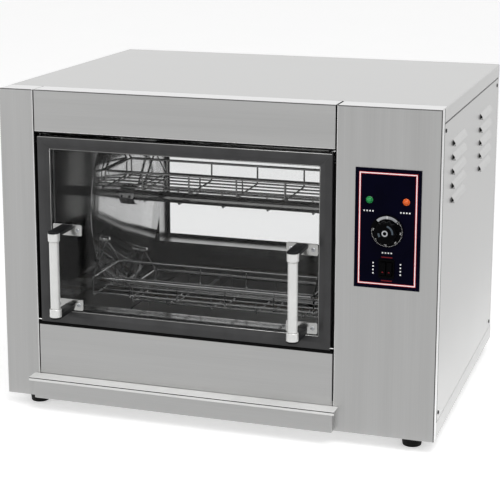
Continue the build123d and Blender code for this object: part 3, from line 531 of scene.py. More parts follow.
def piece(name, bm, finish_name, body, replaced=(), angle=38.0):
    """A finished object at the origin that rides on a body."""
    mesh = bpy.data.meshes.new(name)
    bm.to_mesh(mesh)
    bm.free()
    for polygon in mesh.polygons:
        polygon.use_smooth = True
    mesh.set_sharp_from_angle(angle=math.radians(angle))
    mesh.materials.append(look(finish_name))
    item = bpy.data.objects.new(name, mesh)
    bpy.context.scene.collection.objects.link(item)
    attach(item, body)
    if replaced:
        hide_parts(*replaced)


def middle(node):
    low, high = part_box(node)
    return (low + high) / 2


def joint(name):
    """Place of a joint's axis."""
    return Vector(next(j for j in frame["joints"] if j["name"] == name)["pos_m"])


def arc(radius, first, last, step):
    """Points of a circle from one angle in degrees up to another."""
    turns = [math.radians(angle) for angle in range(first, last, step)]
    return [(radius * math.cos(turn), radius * math.sin(turn)) for turn in turns]


def rounded(half_w, half_h, corner):
    """Outline of a rectangle with round corners, in millimetres."""
    points = []
    for x, y, start in ((1, -1, -90), (1, 1, 0), (-1, 1, 90), (-1, -1, 180)):
        points += [(x * (half_w - corner) + along, y * (half_h - corner) + up)
                   for along, up in arc(corner, start, start + 91, 15)]
    return points


def sector(inner, outer, first, last):
    """Outline of a ring's sector between two clock angles in degrees."""
    steps = 24
    turns = [math.radians(first + (last - first) * n / steps) for n in range(steps + 1)]
    return ([(outer * math.sin(t), outer * math.cos(t)) for t in turns]
            + [(inner * math.sin(t), inner * math.cos(t)) for t in reversed(turns)])


def tick(angle, inner, outer, width):
    """Outline of a radial mark at a clock angle in degrees."""
    turn = math.radians(angle)
    half = width / 2
    return [(r * math.sin(turn) + w * math.cos(turn), r * math.cos(turn) - w * math.sin(turn))
            for r, w in ((inner, -half), (outer, -half), (outer, half), (inner, half))]


# Pieces


class ROTISSERIE_OT_finishes(bpy.types.Operator):
    """Give the nodes that no piece replaces their finishes"""
    bl_idname = "rotisserie.finishes"
    bl_label = "Finishes of the frame"

    looks = {
        "steel_upright": ("left_front_column", "control_column", "rear_panel"),
        "steel_side": ("left_side_panel", "right_side_panel"),
        "steel_top": ("top_cover",),
        "steel_across": ("front_header", "drip_tray"),
        "steel_sill": ("lower_front_panel",),
        "steel_deep": ("base_pan", "tray_runners"),
        "polished_liner": ("chamber_left_wall", "chamber_right_wall", "chamber_ceiling", "chamber_rear_wall",
                           "door_stops"),
        "zinc_plate": ("heater_supports", "shaft_bearings", "motor_bracket", "drive_coupling",
                       "thermostat_spindle"),
        "clear_glass": ("door_glass", "rear_window_glass", "lamp_bulb"),
        "black_moulding": ("door_hinge_pins", "door_hinge_brackets"),
        "overlay_film": ("control_plate",),
        "rubber": ("rear_window_gasket",),
        "motor_paint": ("gear_motor",),
        "pale_moulding": ("lamp_socket", "thermostat_body", "terminal_block"),
    }

    def execute(self, context):
        for name, nodes in self.looks.items():
            for node in nodes:
                for slot in frame["nodes"][node].material_slots:
                    slot.material = look(name)
        return {"FINISHED"}


class ROTISSERIE_OT_baskets(bpy.types.Operator):
    """Weld the four wire baskets"""
    bl_idname = "rotisserie.baskets"
    bl_label = "Baskets"

    sleeve = ((4.15, -5), (6.6, -5), (7, -4.6), (7, 4.6), (6.6, 5), (4.15, 5), (4.15, -5))

    def execute(self, context):
        for node in BASKETS:
            self.basket(node, joint(node + "_swing"))
        return {"FINISHED"}

    def basket(self, node, pivot):
        half_sleeve, hanger_rise, overhang = 5 * MM, 2 * MM, 1.6 * MM
        end_gap_share, floor_share, weld_share, rim_bend_share = 0.8, 0.84, 0.85, 1.4
        size = form()
        low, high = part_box(node)
        x0, x1 = low.x + half_sleeve, high.x - half_sleeve
        half = size.basket_w / 2
        y, y0, y1 = pivot.y, pivot.y - half, pivot.y + half
        rim_z = pivot.z - size.rim_drop
        floor_z = rim_z - size.basket_depth
        rim = [(x0, y0, rim_z), (x1, y0, rim_z), (x1, y1, rim_z), (x0, y1, rim_z)]
        hangers = [[(x, y0, rim_z), (x, y, pivot.z + hanger_rise), (x, y1, rim_z)] for x in (x0, x1)]
        inner = size.cross_wires - 2
        pitch = (x1 - x0) / (inner - 1 + 2 * end_gap_share)
        xs = [x0] + [x0 + pitch * (end_gap_share + n) for n in range(inner)] + [x1]
        cross = [[(x, y0, rim_z), (x, y0, floor_z), (x, y1, floor_z), (x, y1, rim_z)] for x in xs]
        span = size.basket_w * floor_share
        weld_z = floor_z + size.basket_wire * weld_share
        floor = []
        for number in range(size.floor_wires):
            place = y - span / 2 + span * number / (size.floor_wires - 1)
            floor.append([(x0 - overhang, place, weld_z), (x1 + overhang, place, weld_z)])
        sleeves = [lathe(self.sleeve, (x, y, pivot.z), RIGHT, steps=24) for x in (x0, x1)]
        bm = merged(bent_wires([rim], size.rim_wire, size.wire_bend * rim_bend_share, closed=True),
                    bent_wires(hangers, size.hanger_wire, size.wire_bend),
                    bent_wires(cross, size.basket_wire, size.wire_bend),
                    bent_wires(floor, size.basket_wire, size.wire_bend), *sleeves)
        piece("wire_" + node, bm, "basket_wire", node, (node,))


class ROTISSERIE_OT_wheel(bpy.types.Operator):
    """Turn the shaft, the discs with their hubs and the pivot pins"""
    bl_idname = "rotisserie.wheel"
    bl_label = "Wheel"

    set_screw = ((0, -2), (2.6, -2), (2.6, 1), (2.2, 1.4), (1.4, 1.4), (1.4, 0.4), (0, 0.4))
    pin = ((0, 0), (4, 0), (4, 11), (6, 11), (6.5, 11.4), (6.4, 12.2), (5.4, 12.8), (0, 13))

    def execute(self, context):
        centre = joint("rotor_spin")
        low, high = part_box("rotor_shaft")
        reach = (high.x - low.x) / MM
        shaft = lathe([(0, 0), (9, 0), (10, 1), (10, reach - 1), (9, reach), (0, reach)],
                      (low.x, centre.y, centre.z), RIGHT, steps=40)
        piece("shaft", shaft, "turned_shaft", "rotor", ("rotor_shaft",))
        for node, way in (("left_disc", RIGHT), ("right_disc", -RIGHT)):
            self.disc(node, way, centre)
        self.pins()
        return {"FINISHED"}

    def disc(self, node, way, centre):
        low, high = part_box(node)
        back = Vector((low.x if way.x > 0 else high.x, centre.y, centre.z))
        rim = (high.z - low.z) / 2 / MM
        deep = (high.x - low.x) / MM
        bore, hub, screw_out = 10.05, 19, 11
        bm = lathe([(bore, 0), (rim - 0.8, 0), (rim - 0.2, 0.3), (rim, 1), (rim - 0.2, 1.7), (rim - 0.8, 2),
                    (hub + 0.6, 2), (hub, 2.6), (hub, deep - 1.2), (hub - 1.2, deep), (bore + 0.95, deep),
                    (bore, deep - 1), (bore, 0)], back, way, steps=128)
        seat = back + way * screw_out * MM
        screws = [lathe(self.set_screw, seat + side * hub * MM, side, steps=20) for side in (UP, FRONT)]
        piece(node + "_plate", bm, "mirror_disc", "rotor", (node,), angle=30)
        piece(node + "_screws", merged(*screws), "black_moulding", "rotor")

    def pins(self):
        low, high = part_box("basket_pins")
        pins = []
        for node in BASKETS:
            pivot = joint(node + "_swing")
            for face, way in ((low.x, RIGHT), (high.x, -RIGHT)):
                pins.append(lathe(self.pin, (face, pivot.y, pivot.z), way, steps=24))
        piece("pivot_pins", merged(*pins), "bright_plating", "rotor", ("basket_pins",))


class ROTISSERIE_OT_door_frame(bpy.types.Operator):
    """Mitre the four rails of the door"""
    bl_idname = "rotisserie.door_frame"
    bl_label = "Door frame"

    section = ((1.1, 0), (0.3, 0.3), (0, 1.1), (0, 12.4), (0.35, 13.5), (4.3, 22.3), (4.9, 23.5), (5.9, 24),
               (7.85, 24), (7.85, 15), (14.15, 15), (14.15, 24), (21.2, 24), (22, 23.2), (22, 0.8), (21.2, 0))

    def execute(self, context):
        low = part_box("door_left_stile")[0]
        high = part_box("door_right_stile")[1]
        for node, along, side in (("door_top_rail", "x", 1), ("door_bottom_rail", "x", 0),
                                  ("door_left_stile", "z", 0), ("door_right_stile", "z", 1)):
            bm = self.rail(low, high, along, side)
            piece(node + "_profile", bm, "frame_paint", "door", (node,), angle=24)
        return {"FINISHED"}

    def rail(self, low, high, along, side):
        """One rail: its mitred end, mirrored to the far end, short of its neighbours by a hair."""
        hair = 0.06 * MM
        run, across = (0, 2) if along == "x" else (2, 0)
        places = []
        for depth, inward in self.section:
            place = low + mm(inward, depth, inward)
            if side:
                place[across] = high[across] - inward * MM
            place[run] += hair
            places.append(place)
        flip = Matrix.Identity(4)
        flip[run][run] = -1
        centre = (low + high) / 2
        return drawn_out(places, Matrix.Translation(centre) @ flip @ Matrix.Translation(-centre))


class ROTISSERIE_OT_door_highlights(bpy.types.Operator):
    """Lay bright beads along the edges of the door frame: painted highlights on its top edge and inner bevels
    """
    bl_idname = "rotisserie.door_trim"
    bl_label = "Door trim"

    def execute(self, context):
        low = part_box("door_left_stile")[0]
        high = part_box("door_right_stile")[1]
        inset, setback, wide, half = 22.6 * MM, 4.45 * MM, 0.8 * MM, 0.4 * MM
        y = low.y + setback
        x0, x1 = low.x + inset, high.x - inset
        z0, z1 = low.z + inset, high.z - inset
        # Painted highlights: bright strips on the frame's top edge and inner bevel
        beads = [block(Vector((low.x, low.y, high.z)) + mm(1, 0.05, -1.7),
                       Vector((high.x, low.y, high.z)) + mm(-1, 1.4, 0))]
        beads += [block((x0, y - wide, z - half), (x1, y + wide, z + half)) for z in (z0, z1)]
        beads += [block((x - half, y - wide, z0), (x + half, y + wide, z1)) for x in (x0, x1)]
        for bead in beads:
            ease(bead, 0.2 * MM, segments=1)
        piece("door_beads", merged(*beads), "bright_plating", "door")
        return {"FINISHED"}


class ROTISSERIE_OT_door_seal(bpy.types.Operator):
    """Line the opening round the door with black strips"""
    bl_idname = "rotisserie.door_seal"
    bl_label = "Door seal"

    def execute(self, context):
        thick, room, setback, past_glass = 2.4 * MM, 5.5 * MM, 1.2 * MM, 11 * MM
        x0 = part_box("left_front_column")[1].x
        x1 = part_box("control_column")[0].x
        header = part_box("front_header")[0]
        top = header.z
        front = header.y + setback
        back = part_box("door_glass")[0].y + past_glass
        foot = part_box("door_bottom_rail")[0].z
        pin = middle("door_hinge_pins").z
        strips = [block((x, front, z0), (x + thick, back, z1)) for x in (x0, x1 - thick)
                  for z0, z1 in ((foot, pin - room), (pin + room, top - thick))]
        strips.append(block((x0, front, top - thick), (x1, back, top)))
        strips.append(block(Vector((x0 + thick, front, foot)) - mm(0, 1.9, 5.6),
                            Vector((x1 - thick, back, foot)) - mm(0, 0, 0.6)))
        for strip in strips:
            ease(strip, 0.5 * MM, segments=2)
        piece("door_seal", merged(*strips), "seal_rubber", "cabinet")
        return {"FINISHED"}


class ROTISSERIE_OT_handles(bpy.types.Operator):
    """Make the two pull handles with their caps, arms and plates"""
    bl_idname = "rotisserie.handles"
    bl_label = "Handles"

    cap_r, cover = 10.8, 3.5

    def execute(self, context):
        arms_low, arms_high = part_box("handle_arms")
        plates_low, plates_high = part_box("handle_plates")
        caps, arms, plates, screws = [], [], [], []
        for node in ("left_handle_bar", "right_handle_bar"):
            low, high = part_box(node)
            centre = (low + high) / 2
            radius = (high.x - low.x) / 2 / MM
            reach = (high.z - low.z) / MM
            bar = lathe([(0, 0), (radius, 0), (radius, reach), (0, reach)], (centre.x, centre.y, low.z), UP)
            piece(node + "_tube", bar, "pale_bar", "door", (node,))
            for arm_z, plate_z, way in ((arms_low.z, plates_low.z, UP), (arms_high.z, plates_high.z, -UP)):
                end = Vector((centre.x, centre.y, arm_z))
                caps.append(self.cap(end + way * self.cover * MM, way, radius))
                arms.append(self.arm(end, way, plates_low.y))
                plate, heads = self.plate(Vector((centre.x, plates_high.y, plate_z)), way,
                                          plates_high.y - plates_low.y)
                plates.append(plate)
                screws += heads
        piece("handle_cap_rings", merged(*caps), "pale_bar", "door", ("handle_caps",))
        piece("handle_arm_mouldings", merged(*arms), "black_moulding", "door",
              ("handle_arms",))
        piece("handle_back_plates", merged(*plates), "bright_plating", "door", ("handle_plates",))
        piece("handle_screws", merged(*screws), "zinc_plate", "door")
        return {"FINISHED"}

    def cap(self, place, way, radius):
        """A stepped ring with a fine groove where it meets the bar."""
        neck, tall = radius - 1.6, 16
        return lathe([(0, 0), (10.2, 0), (self.cap_r, 0.6), (10.6, 14.0), (10.1, 14.6), (neck, 14.6),
                      (neck, tall), (0, tall)], place, way)

    def arm(self, end, way, plate_y):
        """A moulded arm: a rounded cover over the cap's end, and a web behind the cap."""
        half, reach, web_t, play = 10.0, (plate_y - end.y) / MM, 5.5, 0.05
        outline = arc(self.cap_r, -158, -21, 8) + [(half, reach), (-half, reach)]
        cover = prism(outline, self.cover, (0, 0, 0), UP)
        ease(cover, 1.0 * MM, edges=[e for e in cover.edges if all(v.co.z < MERGE for v in e.verts)])
        hollow = arc(self.cap_r + play, 158, 21, -8)
        web = prism([(-half, reach)] + hollow + [(half, reach)], web_t, mm(0, 0, self.cover), UP)
        crest = (self.cover + web_t - 0.1) * MM
        ease(web, 0.8 * MM, edges=[e for e in web.edges if all(v.co.z > crest for v in e.verts)])
        flip = Matrix.Diagonal((1, 1, way.z, 1))
        bm = placed(merged(cover, web), Matrix.Translation(end) @ flip)
        bmesh.ops.recalc_face_normals(bm, faces=bm.faces)
        return bm

    def plate(self, place, way, thick):
        """A bright plate on the glass, with a screw on each side of the arm."""
        tall, wide, corner, screw_out = form().plate_h, form().plate_w, 3.0, 20
        centre = place + way * tall / 2
        bm = prism(rounded(wide / 2 / MM, tall / 2 / MM, corner), thick / MM, centre, FRONT)
        crest = place.y - thick * 0.9
        ease(bm, 0.5 * MM, segments=2, edges=[e for e in bm.edges if all(v.co.y < crest for v in e.verts)])
        heads = [lathe(SCREW, centre + RIGHT * side * screw_out * MM + FRONT * thick, FRONT, steps=24)
                 for side in (-1, 1)]
        return bm, heads


class ROTISSERIE_OT_tray_front(bpy.types.Operator):
    """Fold the front of the drip tray and its lip"""
    bl_idname = "rotisserie.tray_front"
    bl_label = "Tray front"

    def execute(self, context):
        inset, lip_reach, lip_t = 6, 10, 1.3
        low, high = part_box("tray_front")
        fascia = block(low + mm(inset, lip_reach, 0), high - mm(inset, 0, lip_t))
        ease(fascia, 1.2 * MM)
        piece("tray_fascia", fascia, "steel_across", "drip_tray", ("tray_front",))
        deep = (high.y - low.y) / MM
        section = [(0, deep), (0, 1.0), (0.1, 0.6), (0.4, 0.3), (0.8, 0.2), (0.8, 1.9), (2.6, 1.9),
                   (2.6, 0.6), (2.8, 0.2), (3.2, 0), (6.4, 0), (7, 0.6), (6.6, 3), (lip_t, 3), (lip_t, deep)]
        lip = prism(section, (high.x - low.x) / MM, (low.x, low.y, high.z), RIGHT)
        piece("tray_lip", lip, "satin_lip", "drip_tray", angle=30)
        # Painted shade: a black strip in the groove under the lip's front edge, for the dark line of the
        # bend.
        line = block(Vector((low.x, low.y, high.z)) + mm(0, 1.0, -2.6),
                     Vector((high.x, low.y, high.z)) + mm(0, 1.9, -0.8))
        piece("tray_lip_groove", line, "seal_rubber", "drip_tray")
        return {"FINISHED"}


class ROTISSERIE_OT_overlay(bpy.types.Operator):
    """Print the control plate's border and marks"""
    bl_idname = "rotisserie.overlay"
    bl_label = "Overlay print"

    def execute(self, context):
        low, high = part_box("control_plate")
        knob = joint("knob_turn")
        switch = middle("switch_housing")
        self.border("border_red", low, high, 6.6, 3.2, 0.05, "red_print")
        self.border("border_white", low, high, 7.4, 1.6, 0.10, "white_print")
        steps, row_pitch, column_pitch, proud = (-1.5, -0.5, 0.5, 1.5), 5, 6, 0.08
        under_lamp, under_knob, beside_switch = mm(-1.5, 0, -19), mm(0, 0, -38.5), (-23.5, 23.7)
        rows = [middle(lamp) + under_lamp for lamp in ("green_lamp", "orange_lamp")] + [knob + under_knob]
        spots = []
        for row in rows:
            spots += [row + mm(step * row_pitch, 0, 0) for step in steps]
        for across in beside_switch:
            column = Vector((knob.x, 0, switch.z)) + mm(across, 0, 0)
            spots += [column + mm(0, 0, step * column_pitch) for step in steps]
        dot, bar = rounded(1.25, 1.25, 0.6), rounded(9.5, 0.9, 0.4)
        marks = [prism(dot, proud, (spot.x, low.y, spot.z), FRONT) for spot in spots]
        piece("overlay_marks", merged(*marks), "white_print", "cabinet")
        above, below = knob.z - 46.2 * MM, switch.z - 21.2 * MM
        reds = [prism(bar, proud, (knob.x, low.y, z), FRONT) for z in (above, below)]
        piece("overlay_red_marks", merged(*reds), "dim_red_print", "cabinet")
        return {"FINISHED"}

    def border(self, name, low, high, inset, width, proud, finish_name):
        x0, x1 = low.x + inset * MM, high.x - inset * MM
        z0, z1 = low.z + inset * MM, high.z - inset * MM
        step = width * MM
        y0, y1 = low.y - proud * MM, low.y
        strips = [block((x, y0, z0), (x + step, y1, z1)) for x in (x0, x1 - step)]
        strips += [block((x0 + step, y0, z), (x1 - step, y1, z + step)) for z in (z0, z1 - step)]
        piece(name, merged(*strips), finish_name, "cabinet")


class ROTISSERIE_OT_knob(bpy.types.Operator):
    """Turn the thermostat knob and print its scale"""
    bl_idname = "rotisserie.knob"
    bl_label = "Knob"

    skirt = ((3, 0), (27.4, 0), (28, 0.6), (28, 2.4), (27.2, 3.3), (26.4, 3.5), (3, 3.5), (3, 0))
    ring = ((3.2, 0), (5.2, 0), (5.2, 0.3), (4.6, 0.6), (3.8, 0.6), (3.2, 0.3), (3.2, 0))
    crown = ((20.0, 3.4), (19.5, 17.6), (19.0, 19.0), (18.1, 19.7), (17.0, 20.0))
    numerals = ("50", "100", "150", "200", "250", "300")
    film = 0.06

    def execute(self, context):
        centre = joint("knob_turn")
        back = Vector((centre.x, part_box("thermostat_knob")[1].y, centre.z))
        body = merged(lathe(self.skirt, back, FRONT, steps=96), self.grip(back))
        piece("knob_body", body, "gloss_black", "knob", ("thermostat_knob",), angle=30)
        face = back + FRONT * self.skirt[-2][1] * MM
        crown = back + FRONT * self.crown[-1][1] * MM
        band = prism(sector(21.6, 26.2, -44, 44), self.film, face, FRONT)
        piece("knob_band", merged(band, lathe(self.ring, crown, FRONT)), "silver_print", "knob")
        # Painted highlights: silver arcs on the crown, standing in for the reflections on its rounded edge.
        arcs = [prism(sector(*reach), 0.05, crown, FRONT)
                for reach in ((11.6, 14.6, 15, 95), (9.0, 12.2, 235, 270))]
        piece("knob_arcs", merged(*arcs), "dim_silver_print", "knob")
        marks = [prism(tick(angle, 25.9, 26.7, 0.8), self.film, face, FRONT)
                 for angle in self.scale(form().dial_ticks)]
        ring_r, height = 23.4, 3.0
        for angle, text in zip(self.scale(len(self.numerals)), self.numerals):
            turn = math.radians(angle)
            place = face + mm(ring_r * math.sin(turn), -self.film, ring_r * math.cos(turn))
            marks.append(lettering(text, height, place, -turn))
        marks.append(prism(tick(0, 21.4, 26.6, 1.8), self.film * 1.5, face, FRONT))
        piece("knob_scale", merged(*marks), "white_print", "knob")
        return {"FINISHED"}

    def scale(self, number):
        """Even clock angles along the scale, in degrees."""
        first, last = 50.0, 275.0
        return [first + (last - first) * n / (number - 1) for n in range(number)]

    def grip(self, back):
        """A fluted grip with a rounded crown."""
        flutes, flute_depth, flute_power, steps = 12, 1.8, 1.6, 144
        reach, height = self.crown[0]
        outline = []
        for number in range(steps):
            turn = math.tau * number / steps
            radius = reach - flute_depth * (0.5 + 0.5 * math.cos(flutes * turn)) ** flute_power
            outline.append(mm(radius * math.cos(turn), radius * math.sin(turn), height))
        moves = []
        for (reach, height), (new_reach, new_height) in zip(self.crown, self.crown[1:]):
            share = new_reach / reach
            lift = Matrix.Translation(UP * (new_height - height) * MM)
            moves.append(lift @ Matrix.Diagonal((share, share, 1, 1)))
        return placed(drawn_out(outline, *moves), facing(back, FRONT))


class ROTISSERIE_OT_pilots(bpy.types.Operator):
    """Turn the two pilot lamps"""
    bl_idname = "rotisserie.pilots"
    bl_label = "Pilot lamps"

    collar = ((4.5, 0), (5.6, 0), (6, 0.3), (6, 1.1), (5.6, 1.5), (4.9, 1.5))

    def execute(self, context):
        stem, dome_h, dome_rise = 4.5, 4, 2
        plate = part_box("control_plate")[0].y
        dome = [(x, dome_rise + y * dome_h / stem) for x, y in arc(stem, 0, 91, 15)]
        for node, lens in (("green_lamp", "green_lens"), ("orange_lamp", "orange_lens")):
            place = middle(node)
            tail = (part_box(node)[1].y - plate) / MM
            outline = [(0, -tail), (stem, -tail), *self.collar, *dome]
            bm = lathe(outline, (place.x, plate, place.z), FRONT, steps=40)
            piece(node + "_lens", bm, lens, "cabinet", (node,), angle=30)
        return {"FINISHED"}


class ROTISSERIE_OT_switch(bpy.types.Operator):
    """Mould the switch housing and its two rockers"""
    bl_idname = "rotisserie.switch"
    bl_label = "Switch"

    def execute(self, context):
        half, half_h, well = 4.7 * MM, 11.9 * MM, 9.5 * MM
        wide, tall, share = 11 * MM, 14 * MM, 0.85
        rockers = ("rotation_rocker", "lamp_rocker")
        low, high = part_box("switch_housing")
        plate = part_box("control_plate")[0].y
        mid = middle("switch_housing")
        xs = [middle(node).x for node in rockers]
        z0, z1 = mid.z - half_h, mid.z + half_h
        deep = plate + well

        def walls(left, right, front, back):
            edges = ((left, xs[0] - half), (xs[0] + half, xs[1] - half), (xs[1] + half, right))
            return [block((x0, front, z0), (x1, back, z1)) for x0, x1 in edges]

        parts = walls(low.x, high.x, low.y, plate)
        parts += [block((low.x, low.y, foot), (high.x, plate, top))
                  for foot, top in ((low.z, z0), (z1, high.z))]
        for part in parts:
            ease(part, 0.5 * MM, segments=2)
        left, right = mid.x - wide, mid.x + wide
        parts += walls(left, right, plate, deep)
        parts += [block((left, plate, mid.z + foot * tall), (right, deep, mid.z + top * tall))
                  for foot, top in ((-1, -share), (share, 1))]
        parts.append(block((left, deep, mid.z - tall), (right, high.y, mid.z + tall)))
        piece("switch_frame", merged(*parts), "gloss_black", "cabinet", ("switch_housing",))
        for node, x in zip(rockers, xs):
            self.rocker(node, x)
        return {"FINISHED"}

    def rocker(self, node, x):
        """A shallow V-faced rocker with a mark on the side that is pressed for off."""
        axis = joint(node + "_tilt")
        tilt, half_h, width, face, root, play = math.radians(9), 11.5, 8.6, -9, 5, 0.4
        slope = half_h * math.tan(tilt)
        tip = half_h * math.cos(tilt) - play
        points = ((face, -tip), (face + slope, 0), (face, tip), (root - slope, tip), (root, 0),
                  (root - slope, -tip))
        outline = [mm(-width / 2, y, z) for y, z in points]
        bm = ease(drawn_out(outline, Matrix.Translation(RIGHT * width * MM)), 0.5 * MM, segments=2)
        place = Matrix.Translation((x, axis.y, axis.z)) @ Matrix.Rotation(-tilt, 4, "X")
        piece(node + "_cap", placed(bm, place), "gloss_black", node, (node,))
        slope_share, drop_share, proud = 0.42, 0.58, 0.10
        spot = mm(0, face + slope * slope_share, -tip * drop_share)
        seat = place @ Matrix.Translation(spot) @ Matrix.Rotation(math.atan2(slope, tip), 4, "X")
        mark = prism(rounded(1.5, 1.5, 1.4), proud, (0, 0, 0), FRONT)
        piece(node + "_mark", placed(mark, seat), "dim_red_print", node)


class ROTISSERIE_OT_heaters(bpy.types.Operator):
    """Bend the heating elements"""
    bl_idname = "rotisserie.heaters"
    bl_label = "Heating elements"

    def execute(self, context):
        for node in ("top_heater", "lower_rear_heater"):
            low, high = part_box(node)
            radius, play = 4 * MM, 0.2 * MM
            z = (low.z + high.z) / 2
            y0, y1 = low.y + radius, high.y - radius
            path = [(high.x, y0, z), (low.x + radius, y0, z), (low.x + radius, y1, z), (high.x, y1, z)]
            bm = bent_wires([path], radius * 2 - play, form().heater_bend, sides=6)
            piece(node + "_tube", bm, "element_sheath", "cabinet", (node,))
        return {"FINISHED"}


class ROTISSERIE_OT_feet(bpy.types.Operator):
    """Mould the four feet"""
    bl_idname = "rotisserie.feet"
    bl_label = "Feet"

    outline = ((0, 0), (15.2, 0), (16.2, 0.5), (16.7, 1.6), (19.4, 21), (20, 22.4), (20, 24), (0, 24))

    def execute(self, context):
        low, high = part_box("feet")
        outer = 20 * MM
        feet = [lathe(self.outline, (x, y, low.z), UP, steps=40) for x in (low.x + outer, high.x - outer)
                for y in (low.y + outer, high.y - outer)]
        piece("rubber_feet", merged(*feet), "rubber", "cabinet", ("feet",))
        return {"FINISHED"}


class ROTISSERIE_OT_gland(bpy.types.Operator):
    """Turn the cable gland"""
    bl_idname = "rotisserie.gland"
    bl_label = "Cable gland"

    def execute(self, context):
        low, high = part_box("cable_gland")
        mid = middle("cable_gland")
        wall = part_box("rear_panel")[1].y
        place = (mid.x, wall, mid.z)
        tail = (high.y - wall) / MM
        inner = (wall - low.y) / MM
        bore, thread, nut_r, nut_t = 5, 9, 13, 7
        dome = lathe([(bore, -inner), (thread, -inner), (thread, nut_t), (10.6, nut_t), (10.8, nut_t + 1),
                      (9.6, tail - 2.5), (7.6, tail - 0.4), (6, tail), (bore, tail), (bore, -inner)],
                     place, BACK, steps=40)
        nut = ease(prism(arc(nut_r, 0, 360, 60), nut_t, place, BACK), 0.8 * MM, segments=2)
        piece("supply_gland", merged(dome, nut), "black_moulding", "cabinet",
              ("cable_gland",))
        return {"FINISHED"}


class ROTISSERIE_OT_folds(bpy.types.Operator):
    """Round the folded edges of the front panels, with painted highlights on most and painted shade on the
    others
    """
    bl_idname = "rotisserie.folds"
    bl_label = "Folds"

    def execute(self, context):
        # Painted highlights on most folds; painted shade on the control column's right fold and on the top
        # folds.
        bright, shaded = [], []
        for node in ("left_front_column", "control_column"):
            low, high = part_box(node)
            for x, way in ((low.x, RIGHT), (high.x, -RIGHT)):
                edge = shaded if x == high.x and node == "control_column" else bright
                edge.append(self.bead((x, low.y, low.z), way, UP * (high.z - low.z)))
            shaded.append(self.bead((low.x, low.y, high.z), -UP, RIGHT * (high.x - low.x)))
        for node in ("front_header", "lower_front_panel"):
            low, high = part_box(node)
            for z, way in ((low.z, UP), (high.z, -UP)):
                edge = shaded if z == high.z and node == "front_header" else bright
                edge.append(self.bead((low.x, low.y, z), way, RIGHT * (high.x - low.x)))
        piece("fold_beads", merged(*bright), "bright_fold", "cabinet", angle=60)
        piece("upper_fold_beads", merged(*shaded), "shaded_fold", "cabinet", angle=60)
        return {"FINISHED"}

    def bead(self, corner, inward, run):
        """A quarter-round along a fold, inside the corner that its two faces make."""
        radius = form().fold
        centre = Vector(corner) + (inward + BACK) * radius
        ring = [centre - (inward * along + BACK * up) * radius for along, up in arc(1, 0, 91, 15)]
        return drawn_out(ring, Matrix.Translation(run))


class ROTISSERIE_OT_louvres(bpy.types.Operator):
    """Put dark plates on the ends of the louvres: painted shade for their open ends"""
    bl_idname = "rotisserie.louvres"
    bl_label = "Louvre ends"

    outline, thick = ((0.2, 0.8), (4.6, 4.9), (0.2, 10.6)), 0.15

    def execute(self, context):
        size = form()
        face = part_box("control_column")[1].x
        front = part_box("front_header")[0].y
        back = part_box("rear_panel")[1].y
        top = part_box("top_cover")[1].z
        ends = []
        for y in (front + size.louvre_front, back - size.louvre_rear):
            for row in range(size.louvre_rows):
                place = (face, y - size.louvre_l / 2, top - size.louvre_drop - row * size.louvre_pitch)
                # Painted shade: a thin dark plate on each louvre's front end
                ends.append(prism(self.outline, self.thick, place, FRONT))
        piece("louvre_ends", merged(*ends), "seal_rubber", "cabinet")
        return {"FINISHED"}


class ROTISSERIE_OT_screws(bpy.types.Operator):
    """Fit the screws of the right side and the rear"""
    bl_idname = "rotisserie.screws"
    bl_label = "Case screws"

    def execute(self, context):
        low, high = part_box("right_side_panel")
        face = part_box("control_column")[1].x
        inset = 14 * MM
        heads = [lathe(SCREW, (face, y, z), RIGHT, steps=24) for y in (low.y + inset, high.y - inset)
                 for z in (low.z + inset, high.z - inset)]
        low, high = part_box("rear_panel")
        for x in (low.x + inset, (low.x + high.x) / 2, high.x - inset):
            heads += [lathe(SCREW, (x, high.y, z), BACK, steps=24) for z in (low.z + inset, high.z - inset)]
        piece("case_screws", merged(*heads), "blackened_screw", "cabinet")
        return {"FINISHED"}


